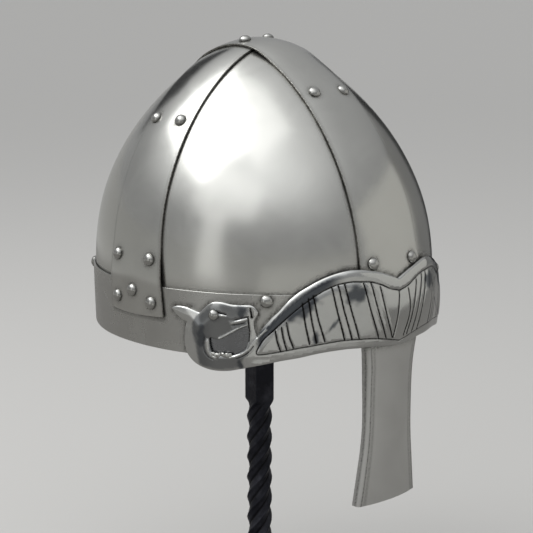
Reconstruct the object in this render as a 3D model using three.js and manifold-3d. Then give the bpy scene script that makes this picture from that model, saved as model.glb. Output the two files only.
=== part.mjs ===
/**
 * A spangenhelm: a helmet riveted together from steel strips, a band and four infill plates, with a
 * raised brow plate and a nasal, standing on a plain twisted iron stand.
 *
 * Millimetres, +Z up. The face looks along -Y and the wearer's right is -X. The origin is the middle
 * of the stand's underside. Inside the helmet group, z = 0 is the rim.
 */
import * as THREE from 'three';
import { mergeVertices } from 'three/addons/utils/BufferGeometryUtils.js';
import Module from 'manifold-3d';

const wasm = await Module();
wasm.setup();

const { lerp, smoothstep, degToRad } = THREE.MathUtils;

// ------------------------------------------------------------------ driving dimensions, mm

// The dome, measured to the outer face of the infill plates.
const RIM_HEIGHT = 225; // rim above the surface that the stand is on
const HALF_LENGTH = 111.5; // plan oval, middle to front
const HALF_WIDTH = 103.5; // plan oval, middle to side
const CROWN_HEIGHT = 174.2; // rim to crown
const CROWN_LEAN = 4; // the crown lies this far behind the middle of the rim
const SPRING_HEIGHT = 36; // the wall is upright below this height and curves in above it
const SHOULDER = 0.76; // fullness of the dome between the spring and the crown

// Sheet metal and the room between its layers.
const SHEET = 1.2;
const GAP = 0.45;
const LAYER = SHEET + GAP;

// Brow band.
const BAND_TOP = 36.8;
const EYE_ARCH_RISE = 6.2; // the band is cut away over the eyes, under the brow plate
const EYE_ARCH_REACH = 64; // along the band, from the front

// Strips: both feet end on the band, and their edges draw together towards the crown.
const STRIP_FOOT = 18.2;
const LONG_STRIP_HALF_WIDTH = 24.8;
const LONG_STRIP_TAPER = 6; // taken off each edge by the crown
const SIDE_STRIP_HALF_WIDTH = 23.5;
const SIDE_STRIP_TAPER = 0.025; // per mm of height
const SIDE_STRIP_FOOT_SHIFT = -4.5; // the foot is set forward of the middle
const SIDE_STRIP_RAKE = 0.08; // and the strip leans back as it rises, per mm
const SIDE_STRIP_END = 6; // the strip stops this far from the middle, under the long strip
const STRIP_RAMP_START = 2; // above the band's top edge a strip sinks from the band
const STRIP_RAMP_END = 28; // down to the plates between these two heights
const CROWN_LAP = 20; // the long strip lies on the side strips this far each way
const CROWN_RAMP_END = 42; // and is back on the plates here

// Infill plates, which run on under the strips and the band.
const PLATE_LAP = 15; // under a strip's edge
const PLATE_FOOT = 12;
const PLATE_TOP = 171.3;

// Rivets.
const RIVET_HEAD_RADIUS = 3.8;
const RIVET_HEAD_HEIGHT = 3.1;
const RIVET_SHANK_RADIUS = 2;
const RIVET_TAIL_RADIUS = 3;
const RIVET_TAIL_HEIGHT = 1.5;
const RIVET_HOLE_RADIUS = 2.7;
const RIVET_HEAD_CLEARANCE = 0.5; // between the head and the curved sheet outside
const RIVET_TAIL_CLEARANCE = 0.85; // and between the tail and the sheet inside
const RIVET_SIDES = 8;
const HOLE_SIDES = 6;

// Rivet places: distance from a strip's middle, and height above the rim.
const LONG_TOP_RIVETS = { across: 11.8, frontHeight: 145, rearHeight: 147 };
const LONG_UPPER_RIVETS = { across: 16, height: 51 };
const LONG_LOWER_RIVETS = { across: 15.5, height: 26.8 };
const SIDE_TOP_RIVETS = { across: 11.6, height: 129 };
const SIDE_UPPER_RIVETS = { across: 14.3, height: 51.6 };
const SIDE_LOWER_RIVETS = { across: 15, height: 26.8 };
const MIDDLE_RIVET_HEIGHT = 32.4; // one on a strip's middle line, through the band
const BAND_RIVETS = { frontAngle: 41.4, rearAngle: 138.6, height: 33 }; // degrees from the front
const CROWN_RIVETS = [[-12.5, 2.5, 'right'], [9.5, 6.5, 'left']]; // plan places

// The nasal's tongue lies on the band, under the brow plate.
const NASAL_SHEET = 1.5;
const NASAL_LIFT = GAP + LAYER + NASAL_SHEET; // its outer face off the plates

// Brow plate, laid out flat as [distance from the front along the band, height].
const BROW_TOP_EDGE = [[0, 40], [12, 45.6], [30, 49], [46, 46.6], [60, 40.6], [72, 31.4], [82, 20.8],
  [88.1, 12.6]];
const BROW_LOWER_EDGE = [[0, 1.9], [30, 3.9], [52, 2.6], [76, -1.4], [101.5, -7.2]];
const BROW_BULGE = 0.045; // how far the eyebrow swells, as a part of its height
const BROW_MIDDLE_LIFT = 4; // off the plates, where distances along it are measured
const BROW_SIDE_LIFT = GAP + LAYER; // its back lies on the band at the sides
const BROW_FRONT_LIFT = NASAL_LIFT + GAP; // and clears the nasal at the front
const BROW_SETTLE = [30, 52]; // it comes down from one to the other between these distances

// Beast's head at each end of the brow plate: its outline from the eyebrow's top edge over the snout,
// the brow, the ear and the nape to the chin, each point paired with one of the mouth's edge.
const BEAST_OUTLINE = [[88.1, 12.6], [90, 18], [87.6, 25], [90.5, 30.5], [97.7, 31], [106, 31.8],
  [113.6, 31.6], [119.5, 28], [122.3, 25.6], [132, 27.6], [141, 26.2], [131, 19], [133.1, 9.3],
  [131.3, 0.7], [126.9, -4.2], [119.4, -7.5], [109, -8.1], [101.5, -7.2]];
const BEAST_MOUTH = [[93.8, 15], [93.8, 18], [94.3, 20], [96.5, 19.2], [99.5, 17.6], [103, 15.8],
  [107, 13.6], [110.5, 11.9], [113.2, 11.6], [114.5, 11.3], [115.4, 10.8], [116.2, 9.3], [116.3, 6.5],
  [115.6, 4], [114.2, 2.2], [111, 1], [106, 0.8], [101.5, 1.6]];
const BEAST_MOUTH_BY_EYEBROW = [[97.6, 4.2], [95.2, 7.4], [94, 11]];
const BEAST_SWELL = 1.8;
const BEAST_EYE = [113, 24.6];
const BEAST_EYE_LIFT = 4.5;

// Nasal: a face curved in plan, with an edge folded back on each side below the rim.
const NASAL_FACE_RADIUS = 90;
const NASAL_BEND = 2.2;
const NASAL_HALF_WIDTHS = [[16, 18], [0, 20], [-20, 19.3], [-50, 19.6], [-72, 21.8], [-94, 24.9]];
const NASAL_FLANGE_DEPTHS = [[16, 0.6], [6, 1.2], [3.4, 4], [-12, 4.2], [-35, 3], [-94, 3.1]];
const NASAL_SET_BACKS = [[6, 0], [-15, 1.4], [-94, 2.2]]; // the face falls back below the rim
const NASAL_FOLD = [6, 3.4]; // the edges turn back between these heights
const NASAL_ROWS = [16, 8, 6, 5, 4.2, 3.4, -5, -15, -25, -35, -49, -64, -79, -94];

// Stand.
const BASE_RADIUS = 85;
const BASE_THICKNESS = 8;
const BASE_BEVEL = 2.5;
const BAR_WIDTH = 14;
const BAR_TURN = -8; // degrees from square to the helmet
const BAR_STRAIGHT = 57; // below the rim the bar stays straight this far, then it is twisted
const BAR_FOOT_STRAIGHT = 30;
const BAR_TWIST_PITCH = 56;
const BAR_TWISTED_CORNER = 3.2; // twisting draws the corners in to this radius
const BAR_STRAIGHT_CORNER = 0.6;
const BAR_HEAD_ROOM = 2; // the bar's corners stop this far below the middle of the head's underside
const HEAD_RADIUS = 48;
const HEAD_THICKNESS = 3;
const HEAD_DISH = 3; // the middle is pressed down to clear the crown's rivets

const STEEL = { color: 0xb9bab6, roughness: 0.28, metalness: 1 };
const MIRROR_STEEL = { color: 0xc4c5c2, roughness: 0.16, metalness: 1 };
const SATIN_STEEL = { color: 0xa9aaa4, roughness: 0.42, metalness: 1 };
const RIVET_STEEL = { color: 0xc2c3bf, roughness: 0.22, metalness: 1 };
const BLACK_IRON = { color: 0x25262b, roughness: 0.55, metalness: 0.8 };

// ------------------------------------------------------------------ the dome's surface

const CAST_HEIGHT = 60; // strips are laid out by lines that fan out from this height on the axis

/** Sign and size of how far a point is outside the dome: below zero inside, zero on its face. */
function domeField(point) {
  const rise = Math.max(0, (point.z - SPRING_HEIGHT) / (CROWN_HEIGHT - SPRING_HEIGHT));
  const openness = 1 - rise ** 2 * (1 + SHOULDER * rise * (1 - rise));
  const y = point.y - axisAt(point.z);
  return (point.x / HALF_WIDTH) ** 2 + (y / HALF_LENGTH) ** 2 - openness;
}

/** How far back the dome's leaning axis is at a height. */
function axisAt(z) {
  return CROWN_LEAN * z / CROWN_HEIGHT;
}

/** The direction straight out of the dome at a point of its face. */
function domeNormal(point) {
  const step = 0.05;
  const slopes = [[1, 0, 0], [0, 1, 0], [0, 0, 1]].map((components) => {
    const shift = new THREE.Vector3(...components).multiplyScalar(step);
    return domeField(point.clone().add(shift)) - domeField(point.clone().sub(shift));
  });
  return new THREE.Vector3(...slopes).normalize();
}

/**
 * A seat is a point of the dome's face, the direction out of it, and how far a sheet's back is lifted
 * off it there. This one lies where a line from inside the dome meets its face.
 */
function seatAlong(start, direction, lift = 0) {
  let inside = 0;
  let outside = 2 * CROWN_HEIGHT;
  for (let step = 0; step < 40; step += 1) {
    const middle = (inside + outside) / 2;
    const probe = start.clone().addScaledVector(direction, middle);
    if (domeField(probe) < 0) {
      inside = middle;
    } else {
      outside = middle;
    }
  }
  const point = start.clone().addScaledVector(direction, inside);
  return { point, normal: domeNormal(point), lift };
}

/** The seat at an angle round the helmet from the front, towards +X, at a height. */
function seatAround(angle, z, lift = 0) {
  const direction = new THREE.Vector3(Math.sin(angle), -Math.cos(angle), 0);
  return seatAlong(new THREE.Vector3(0, axisAt(z), z), direction, lift);
}

/** The angle round the helmet at a distance from the front along the brow plate's middle face. */
function angleAlongBand(distance) {
  const steps = 60;
  let angle = 0;
  for (let step = 0; step < steps; step += 1) {
    const across = Math.sin(angle) / (HALF_WIDTH + BROW_MIDDLE_LIFT);
    const along = Math.cos(angle) / (HALF_LENGTH + BROW_MIDDLE_LIFT);
    angle += distance / steps * Math.hypot(across, along);
  }
  return angle;
}

// ------------------------------------------------------------------ solids

/** A closed mesh from corners and triangles, turned so that its faces point out. */
function closedGeometry(corners, triangles) {
  let volume = 0;
  for (const [a, b, c] of triangles) {
    volume += corners[a].dot(corners[b].clone().cross(corners[c]));
  }
  const order = volume > 0 ? triangles : triangles.map(([a, b, c]) => [a, c, b]);
  const geometry = new THREE.BufferGeometry();
  geometry.setAttribute('position', new THREE.Float32BufferAttribute(
    corners.flatMap((corner) => corner.toArray()), 3));
  geometry.setIndex(order.flat());
  return geometry;
}

/** A sheet of even thickness on seats: a front, a back and a wall along every open edge. */
function sheetGeometry(seats, faces, thickness) {
  const count = seats.length;
  const layer = (height) => seats.map(
    ({ point, normal, lift }) => point.clone().addScaledVector(normal, lift + height));
  const triangles = [];
  const openEdges = new Map();
  for (const face of faces) {
    face.forEach((from, index) => {
      const to = face[(index + 1) % face.length];
      if (!openEdges.delete(`${to},${from}`)) {
        openEdges.set(`${from},${to}`, [from, to]);
      }
    });
    for (let index = 1; index < face.length - 1; index += 1) {
      const [a, b, c] = [face[0], face[index], face[index + 1]];
      triangles.push([a + count, b + count, c + count], [c, b, a]);
    }
  }
  for (const [from, to] of openEdges.values()) {
    triangles.push([from, to, to + count], [from, to + count, from + count]);
  }
  return closedGeometry([...layer(0), ...layer(thickness)], triangles);
}

/** The four-cornered faces of a grid of points, row after row, joined round or open. */
function gridFaces(rowCount, columnCount, joinedRound = false) {
  const faces = [];
  const spans = joinedRound ? columnCount : columnCount - 1;
  for (let row = 0; row < rowCount - 1; row += 1) {
    for (let column = 0; column < spans; column += 1) {
      const next = (column + 1) % columnCount;
      const [low, high] = [row * columnCount, (row + 1) * columnCount];
      faces.push([low + column, low + next, high + next, high + column]);
    }
  }
  return faces;
}

/** Evenly spaced values from one end to the other, both included. */
function spread(from, to, spans) {
  return Array.from({ length: spans + 1 }, (_, index) => lerp(from, to, index / spans));
}

/** A straight-line reading of a list of [place, value] pairs, in either order of places. */
function readTable(table, place) {
  const rising = table[0][0] < table[table.length - 1][0] ? table : [...table].reverse();
  for (let index = 1; index < rising.length; index += 1) {
    const [[lowPlace, lowValue], [highPlace, highValue]] = [rising[index - 1], rising[index]];
    if (place <= highPlace) {
      return lerp(lowValue, highValue, (place - lowPlace) / (highPlace - lowPlace));
    }
  }
  return rising[rising.length - 1][1];
}

/** A manifold-3d solid of a closed geometry. */
function toSolid(geometry) {
  const bare = geometry.clone();
  bare.deleteAttribute('normal');
  bare.deleteAttribute('uv');
  const merged = mergeVertices(bare, 1e-4);
  return new wasm.Manifold(new wasm.Mesh({
    numProp: 3,
    vertProperties: new Float32Array(merged.attributes.position.array),
    triVerts: new Uint32Array(merged.index.array),
  }));
}

/** The geometry of a manifold-3d solid. */
function fromSolid(solid) {
  const { vertProperties, triVerts } = solid.getMesh();
  const geometry = new THREE.BufferGeometry();
  geometry.setAttribute('position', new THREE.BufferAttribute(new Float32Array(vertProperties), 3));
  geometry.setIndex(new THREE.BufferAttribute(new Uint32Array(triVerts), 1));
  return geometry;
}

/** A named mesh with a finish of its own. */
function pieceMesh(name, geometry, finish) {
  const mesh = new THREE.Mesh(geometry, new THREE.MeshStandardMaterial(finish));
  mesh.name = name;
  return mesh;
}

// ------------------------------------------------------------------ strips

/** Half the long strip's width at a height. */
function longHalfWidth(z) {
  return LONG_STRIP_HALF_WIDTH - LONG_STRIP_TAPER * Math.max(0, z / CROWN_HEIGHT) ** 2.4;
}

/** Half a side strip's width at a height. */
function sideHalfWidth(z) {
  return SIDE_STRIP_HALF_WIDTH - SIDE_STRIP_TAPER * z;
}

/** Where the middle of a side strip runs at a height, as y. */
function sideMiddle(z) {
  return SIDE_STRIP_FOOT_SHIFT + SIDE_STRIP_RAKE * z;
}

/** How far a strip's back is off the plates: on the band at its foot, then down on to the plates. */
function stripLift(z) {
  const onPlates = smoothstep(z, BAND_TOP + STRIP_RAMP_START, BAND_TOP + STRIP_RAMP_END);
  return GAP + LAYER * (1 - onPlates);
}

/** How far the long strip is off the plates, with the side strips under it at the crown. */
function longStripLift(point) {
  const fromCrossing = Math.abs(point.y - sideMiddle(CROWN_HEIGHT));
  const onSideStrips = 1 - smoothstep(fromCrossing, CROWN_LAP, CROWN_RAMP_END);
  const overCrown = point.z > CAST_HEIGHT ? GAP + LAYER * onSideStrips : 0;
  return Math.max(stripLift(point.z), overCrown);
}

/** The angle above level, seen from the casting height, of a strip's foot on a wall. */
function footAngle(reach) {
  return Math.atan2(STRIP_FOOT - CAST_HEIGHT, reach);
}

/** The long strip, from the front of the band over the crown to the back. */
function longStrip() {
  const [rows, columns] = [40, 4];
  const foot = footAngle(HALF_LENGTH);
  const seats = spread(foot, Math.PI - foot, rows).flatMap((angle) => {
    const direction = new THREE.Vector3(0, -Math.cos(angle), Math.sin(angle));
    const middle = seatAlong(new THREE.Vector3(0, 0, CAST_HEIGHT), direction);
    return spread(-1, 1, columns).map((across) => {
      const x = across * longHalfWidth(middle.point.z);
      const seat = seatAlong(new THREE.Vector3(x, 0, CAST_HEIGHT), direction);
      return { ...seat, lift: longStripLift(seat.point) };
    });
  });
  return sheetGeometry(seats, gridFaces(rows + 1, columns + 1), SHEET);
}

/** A side strip, from the band to just short of the crown; side is -1 for the wearer's right. */
function sideStrip(side) {
  const [rows, columns] = [20, 4];
  const end = Math.atan2(CROWN_HEIGHT - CAST_HEIGHT, SIDE_STRIP_END);
  const seats = spread(footAngle(HALF_WIDTH), end, rows).flatMap((angle) => {
    const direction = new THREE.Vector3(side * Math.cos(angle), 0, Math.sin(angle));
    const middle = seatAlong(new THREE.Vector3(0, 0, CAST_HEIGHT), direction);
    const height = middle.point.z;
    return spread(-1, 1, columns).map((across) => {
      const y = sideMiddle(height) + across * sideHalfWidth(height);
      const seat = seatAlong(new THREE.Vector3(0, y, CAST_HEIGHT), direction);
      return { ...seat, lift: stripLift(seat.point.z) };
    });
  });
  return sheetGeometry(seats, gridFaces(rows + 1, columns + 1), SHEET);
}

// ------------------------------------------------------------------ band and plates

/** The height of the band's lower edge at a distance along it from the front. */
function bandFoot(distance) {
  const reach = Math.min(1, Math.abs(distance) / EYE_ARCH_REACH);
  return EYE_ARCH_RISE * (1 - reach ** 4);
}

/** The brow band, a ring round the rim. */
function browBand() {
  const [rows, columns] = [2, 56];
  const angles = spread(-Math.PI, Math.PI, columns).slice(0, columns);
  const meanRadius = (HALF_LENGTH + HALF_WIDTH) / 2;
  const seats = spread(0, 1, rows).flatMap((rise) => angles.map((angle) => {
    const z = lerp(bandFoot(angle * meanRadius), BAND_TOP, rise);
    return seatAround(angle, z, GAP);
  }));
  return sheetGeometry(seats, gridFaces(rows + 1, columns, true), SHEET);
}

/** One infill plate; side is -1 for the wearer's right, and end is -1 for the front. */
function infillPlate(side, end) {
  const [rows, columns] = [14, 8];
  const foot = Math.atan2(PLATE_FOOT - CAST_HEIGHT, HALF_WIDTH);
  const top = degToRad(81);
  const across = new THREE.Vector3(side, 0, 0);
  const along = new THREE.Vector3(0, end, 0);
  const angleOf = ({ point }) => Math.atan2(point.x, axisAt(point.z) - point.y);
  const seats = spread(foot, top, rows).flatMap((angle, row) => {
    const direction = new THREE.Vector3(side * Math.cos(angle), 0, Math.sin(angle));
    const height = row === rows ? PLATE_TOP
      : seatAlong(new THREE.Vector3(0, 0, CAST_HEIGHT), direction).point.z;
    const x = side * (longHalfWidth(height) - PLATE_LAP);
    const y = sideMiddle(height) + end * (sideHalfWidth(height) - PLATE_LAP);
    const byLongStrip = angleOf(seatAlong(new THREE.Vector3(x, axisAt(height), height), along));
    const bySideStrip = angleOf(seatAlong(new THREE.Vector3(0, y, height), across));
    return spread(byLongStrip, bySideStrip, columns).map((turn) => seatAround(turn, height, -SHEET));
  });
  return sheetGeometry(seats, gridFaces(rows + 1, columns + 1), SHEET);
}

// ------------------------------------------------------------------ brow plate

/** How far the brow plate's back is off the plates, before any swelling. */
function browLift(distance) {
  const settled = smoothstep(Math.abs(distance), ...BROW_SETTLE);
  return lerp(BROW_FRONT_LIFT, BROW_SIDE_LIFT, settled);
}

/** A seat of the brow plate from its place on the flat layout. */
function browSeat(distance, height, swell) {
  return seatAround(angleAlongBand(distance), height, browLift(distance) + swell);
}

/** Points at even steps along a smooth edge through the given ones. */
function edgePoints(outline, spans) {
  return new THREE.SplineCurve(outline.map(([x, y]) => new THREE.Vector2(x, y))).getSpacedPoints(spans);
}

/** The brow plate: both eyebrows as one grid, with a ring of faces for each beast's head. */
function browPlate() {
  const [columns, rows, rings] = [17, 4, 2];
  const seats = [];
  const faces = [];
  const addSeat = (seat) => seats.push(seat) - 1;

  const top = edgePoints(BROW_TOP_EDGE, columns);
  const low = edgePoints(BROW_LOWER_EDGE, columns);
  const column = (index) => {
    const [upper, lower] = [top[Math.abs(index)], low[Math.abs(index)]];
    const bulge = BROW_BULGE * upper.distanceTo(lower);
    return spread(0, 1, rows).map((rise) => {
      const place = lower.clone().lerp(upper, rise);
      const distance = Math.sign(index) * place.x;
      return addSeat(browSeat(distance, place.y, bulge * Math.sin(Math.PI * rise)));
    });
  };
  const columnSeats = spread(-columns, columns, 2 * columns).map((index) => column(Math.round(index)));
  for (let index = 0; index < columnSeats.length - 1; index += 1) {
    const [here, next] = [columnSeats[index], columnSeats[index + 1]];
    for (let row = 0; row < rows; row += 1) {
      faces.push([here[row], next[row], next[row + 1], here[row + 1]]);
    }
  }

  for (const side of [-1, 1]) {
    const joint = side < 0 ? columnSeats[0] : columnSeats[columnSeats.length - 1];
    const jointPlaces = spread(0, 1, rows).map((rise) => low[columns].clone().lerp(top[columns], rise));
    const outer = [...BEAST_OUTLINE.map(([x, y]) => new THREE.Vector2(x, y)),
      ...jointPlaces.slice(1, rows)];
    const inner = [...BEAST_MOUTH, ...BEAST_MOUTH_BY_EYEBROW].map(([x, y]) => new THREE.Vector2(x, y));
    const last = BEAST_OUTLINE.length - 1;
    const jointSeats = new Map([[0, joint[rows]], [last, joint[0]]]);
    joint.slice(1, rows).forEach((seat, index) => jointSeats.set(last + 1 + index, seat));
    const ringSeats = spread(0, 1, rings).map((reach) => inner.map((mouthPlace, index) => {
      if (reach === 1 && jointSeats.has(index)) {
        return jointSeats.get(index);
      }
      const place = mouthPlace.clone().lerp(outer[index], reach);
      return addSeat(browSeat(side * place.x, place.y, BEAST_SWELL * (1 - reach ** 2)));
    }));
    for (let ring = 0; ring < rings; ring += 1) {
      ringSeats[ring].forEach((seat, index) => {
        const next = (index + 1) % inner.length;
        const face = [seat, ringSeats[ring][next], ringSeats[ring + 1][next], ringSeats[ring + 1][index]];
        faces.push(side < 0 ? face.reverse() : face);
      });
    }
  }
  return sheetGeometry(seats, faces, SHEET);
}

// ------------------------------------------------------------------ nasal

/** The nasal's plan section at a height: places of its outer face from one edge to the other. */
function nasalSection(z) {
  const halfWidth = readTable(NASAL_HALF_WIDTHS, z);
  const flange = readTable(NASAL_FLANGE_DEPTHS, z);
  const folded = 1 - smoothstep(z, NASAL_FOLD[1], NASAL_FOLD[0]);
  const faceY = (x) => NASAL_FACE_RADIUS - Math.sqrt(NASAL_FACE_RADIUS ** 2 - x ** 2);
  const shoulderX = halfWidth - NASAL_BEND;
  const shoulderY = faceY(shoulderX);
  const flat = (reach) => new THREE.Vector2(shoulderX + reach, faceY(shoulderX + reach));
  const bent = (x, y) => new THREE.Vector2(halfWidth - x, shoulderY + y);
  const wing = [
    flat(1.5).lerp(bent(0.65, 0.65), folded),
    flat(2.8).lerp(bent(0, NASAL_BEND), folded),
    flat(2.8 + flange / 2).lerp(bent(0, NASAL_BEND + flange / 2), folded),
    flat(2.8 + flange).lerp(bent(0, NASAL_BEND + flange), folded),
  ];
  const face = spread(0, shoulderX, 2).map((x) => new THREE.Vector2(x, faceY(x)));
  const half = [...face, ...wing];
  const mirrored = half.slice(1).reverse().map((place) => new THREE.Vector2(-place.x, place.y));
  return [...mirrored, ...half];
}

/** The nasal, hung from its tongue behind the brow plate. */
function nasal() {
  const frontY = seatAround(0, 0).point.y - NASAL_LIFT;
  const seats = NASAL_ROWS.flatMap((z) => {
    const setBack = readTable(NASAL_SET_BACKS, z);
    const section = nasalSection(z);
    return section.map((place, index) => {
      const before = section[Math.max(0, index - 1)];
      const after = section[Math.min(section.length - 1, index + 1)];
      const run = after.clone().sub(before).normalize();
      const point = new THREE.Vector3(place.x, frontY + setBack + place.y, z);
      return { point, normal: new THREE.Vector3(run.y, -run.x, 0), lift: -NASAL_SHEET };
    });
  });
  const columnCount = nasalSection(0).length;
  return sheetGeometry(seats, gridFaces(NASAL_ROWS.length, columnCount), NASAL_SHEET);
}

// ------------------------------------------------------------------ rivets

/** Seats of rivets on the long strip; end is -1 for the front and 1 for the back. */
function longStripSeat(x, z, end) {
  return seatAlong(new THREE.Vector3(x, axisAt(z), z), new THREE.Vector3(0, end, 0));
}

/** Seats of rivets on a side strip, by distance from the strip's middle and height. */
function sideStripSeat(side, along, z) {
  return seatAlong(new THREE.Vector3(0, sideMiddle(z) + along, z), new THREE.Vector3(side, 0, 0));
}

/** Every rivet: its name, its seat, the outer and inner faces it clamps, and the sheets it joins. */
function rivetPlan() {
  const plan = [];
  const sides = [[-1, 'right'], [1, 'left']];
  const ends = [[-1, 'front'], [1, 'rear']];
  const onPlates = { outer: GAP + SHEET, inner: -SHEET };
  const onBandAndPlates = { outer: GAP + SHEET + LAYER, inner: -SHEET };
  const onBand = { outer: GAP + SHEET + LAYER, inner: GAP };
  const overRamp = (z) => ({ outer: stripLift(z) + SHEET, inner: -SHEET });
  const add = (name, seat, clamp, sheets) => plan.push({ name: `rivet_${name}`, seat, ...clamp, sheets });

  for (const [end, endName] of ends) {
    const isFront = end < 0;
    const topHeight = isFront ? LONG_TOP_RIVETS.frontHeight : LONG_TOP_RIVETS.rearHeight;
    const bandAngle = degToRad(isFront ? BAND_RIVETS.frontAngle : BAND_RIVETS.rearAngle);
    for (const [side, sideName] of sides) {
      const plate = `infill_plate_${endName}_${sideName}`;
      const tag = `${endName}_${sideName}`;
      const { across, height } = LONG_UPPER_RIVETS;
      add(`${tag}_top`, longStripSeat(side * LONG_TOP_RIVETS.across, topHeight, end), onPlates,
        ['long_strip', plate]);
      add(`${tag}_upper`, longStripSeat(side * across, height, end), overRamp(height),
        ['long_strip', plate]);
      if (!isFront) {
        const { across: lowerAcross, height: lowerHeight } = LONG_LOWER_RIVETS;
        add(`${tag}_lower`, longStripSeat(side * lowerAcross, lowerHeight, end), onBandAndPlates,
          ['long_strip', 'brow_band', plate]);
      }
      add(`${tag}_band`, seatAround(side * bandAngle, BAND_RIVETS.height), onPlates,
        ['brow_band', plate]);
    }
  }
  add('rear_middle', longStripSeat(0, MIDDLE_RIVET_HEIGHT, 1), onBand, ['long_strip', 'brow_band']);

  for (const [side, sideName] of sides) {
    const strip = `side_strip_${sideName}`;
    for (const [end, endName] of ends) {
      const plate = `infill_plate_${endName}_${sideName}`;
      const tag = `${sideName}_${endName}ward`;
      const onStrip = ({ across, height }) => sideStripSeat(side, end * across, height);
      add(`${tag}_top`, onStrip(SIDE_TOP_RIVETS), onPlates, [strip, plate]);
      add(`${tag}_upper`, onStrip(SIDE_UPPER_RIVETS), overRamp(SIDE_UPPER_RIVETS.height),
        [strip, plate]);
      add(`${tag}_lower`, onStrip(SIDE_LOWER_RIVETS), onBandAndPlates, [strip, 'brow_band', plate]);
    }
    add(`${sideName}_middle`, sideStripSeat(side, 0, MIDDLE_RIVET_HEIGHT), onBand,
      [strip, 'brow_band']);
    const [eyeDistance, eyeHeight] = BEAST_EYE;
    add(`${sideName}_beast_eye`, seatAround(side * angleAlongBand(eyeDistance), eyeHeight),
      { outer: BEAST_EYE_LIFT, inner: -SHEET },
      ['brow_plate', 'brow_band', `infill_plate_front_${sideName}`]);
  }

  for (const [x, y, sideName] of CROWN_RIVETS) {
    const seat = seatAlong(new THREE.Vector3(x, y, CAST_HEIGHT), new THREE.Vector3(0, 0, 1));
    add(`crown_${sideName}`, seat, { outer: GAP + SHEET + LAYER, inner: GAP },
      ['long_strip', `side_strip_${sideName}`]);
  }
  return plan;
}

/** The turn and place that stand a piece made along +Y on a seat, pointing out of the dome. */
function seatMatrix({ point, normal }) {
  const turn = new THREE.Quaternion().setFromUnitVectors(new THREE.Vector3(0, 1, 0), normal);
  return new THREE.Matrix4().compose(point, turn, new THREE.Vector3(1, 1, 1));
}

/** A domed rivet with its shank and its peened tail. */
function rivetGeometry({ seat, outer, inner }) {
  const headBase = outer + RIVET_HEAD_CLEARANCE;
  const tailBase = inner - RIVET_TAIL_CLEARANCE;
  const profile = [
    [0, tailBase - RIVET_TAIL_HEIGHT],
    [RIVET_TAIL_RADIUS, tailBase],
    [RIVET_SHANK_RADIUS, tailBase],
    [RIVET_SHANK_RADIUS, headBase],
    [RIVET_HEAD_RADIUS, headBase],
    [RIVET_HEAD_RADIUS * 0.76, headBase + RIVET_HEAD_HEIGHT * 0.7],
    [0, headBase + RIVET_HEAD_HEIGHT],
  ].map(([radius, height]) => new THREE.Vector2(radius, height));
  const turned = new THREE.LatheGeometry(profile, RIVET_SIDES);
  return fromSolid(toSolid(turned.applyMatrix4(seatMatrix(seat))));
}

/** The cutter for a rivet's clearance hole. */
function holeCutter({ seat, outer, inner }) {
  const length = outer - inner + 10;
  const drill = new THREE.CylinderGeometry(RIVET_HOLE_RADIUS, RIVET_HOLE_RADIUS, length, HOLE_SIDES);
  drill.translate(0, (outer + inner) / 2, 0);
  return toSolid(drill.applyMatrix4(seatMatrix(seat)));
}

// ------------------------------------------------------------------ stand

/** The corners of the bar's section, rounded to a radius, as places round its middle. */
function barSection(cornerRadius) {
  const middle = BAR_WIDTH / 2 - cornerRadius;
  return [0, 1, 2, 3].flatMap((corner) => {
    const turn = corner * Math.PI / 2;
    const centre = new THREE.Vector2(middle, middle).rotateAround(new THREE.Vector2(), turn);
    return [0, 45, 90].map((sweep) => {
      const spoke = new THREE.Vector2(cornerRadius, 0);
      return centre.clone().add(spoke.rotateAround(new THREE.Vector2(), turn + degToRad(sweep)));
    });
  });
}

/** The stand's bar: square under the helmet and at its foot, twisted in between. */
function standBar(topHeight) {
  const bottom = BASE_THICKNESS + GAP;
  const twistTop = RIM_HEIGHT - BAR_STRAIGHT;
  const twistBottom = bottom + BAR_FOOT_STRAIGHT;
  const twistSpans = 46;
  const heights = [bottom, ...spread(twistBottom, twistTop, twistSpans), topHeight];
  const corners = heights.flatMap((z) => {
    const twisted = THREE.MathUtils.clamp(z, twistBottom, twistTop) - twistTop;
    const turn = degToRad(BAR_TURN) + 2 * Math.PI * twisted / BAR_TWIST_PITCH;
    const inTwist = z > twistBottom && z < twistTop;
    const section = barSection(inTwist ? BAR_TWISTED_CORNER : BAR_STRAIGHT_CORNER);
    return section.map((place) => {
      const turned = place.rotateAround(new THREE.Vector2(), turn);
      return new THREE.Vector3(turned.x, turned.y, z);
    });
  });
  const count = barSection(1).length;
  const triangles = gridFaces(heights.length, count, true)
    .flatMap(([a, b, c, d]) => [[a, b, c], [a, c, d]]);
  const lastRow = (heights.length - 1) * count;
  for (let index = 1; index < count - 1; index += 1) {
    triangles.push([0, index + 1, index], [lastRow, lastRow + index, lastRow + index + 1]);
  }
  return closedGeometry(corners, triangles);
}

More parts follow.
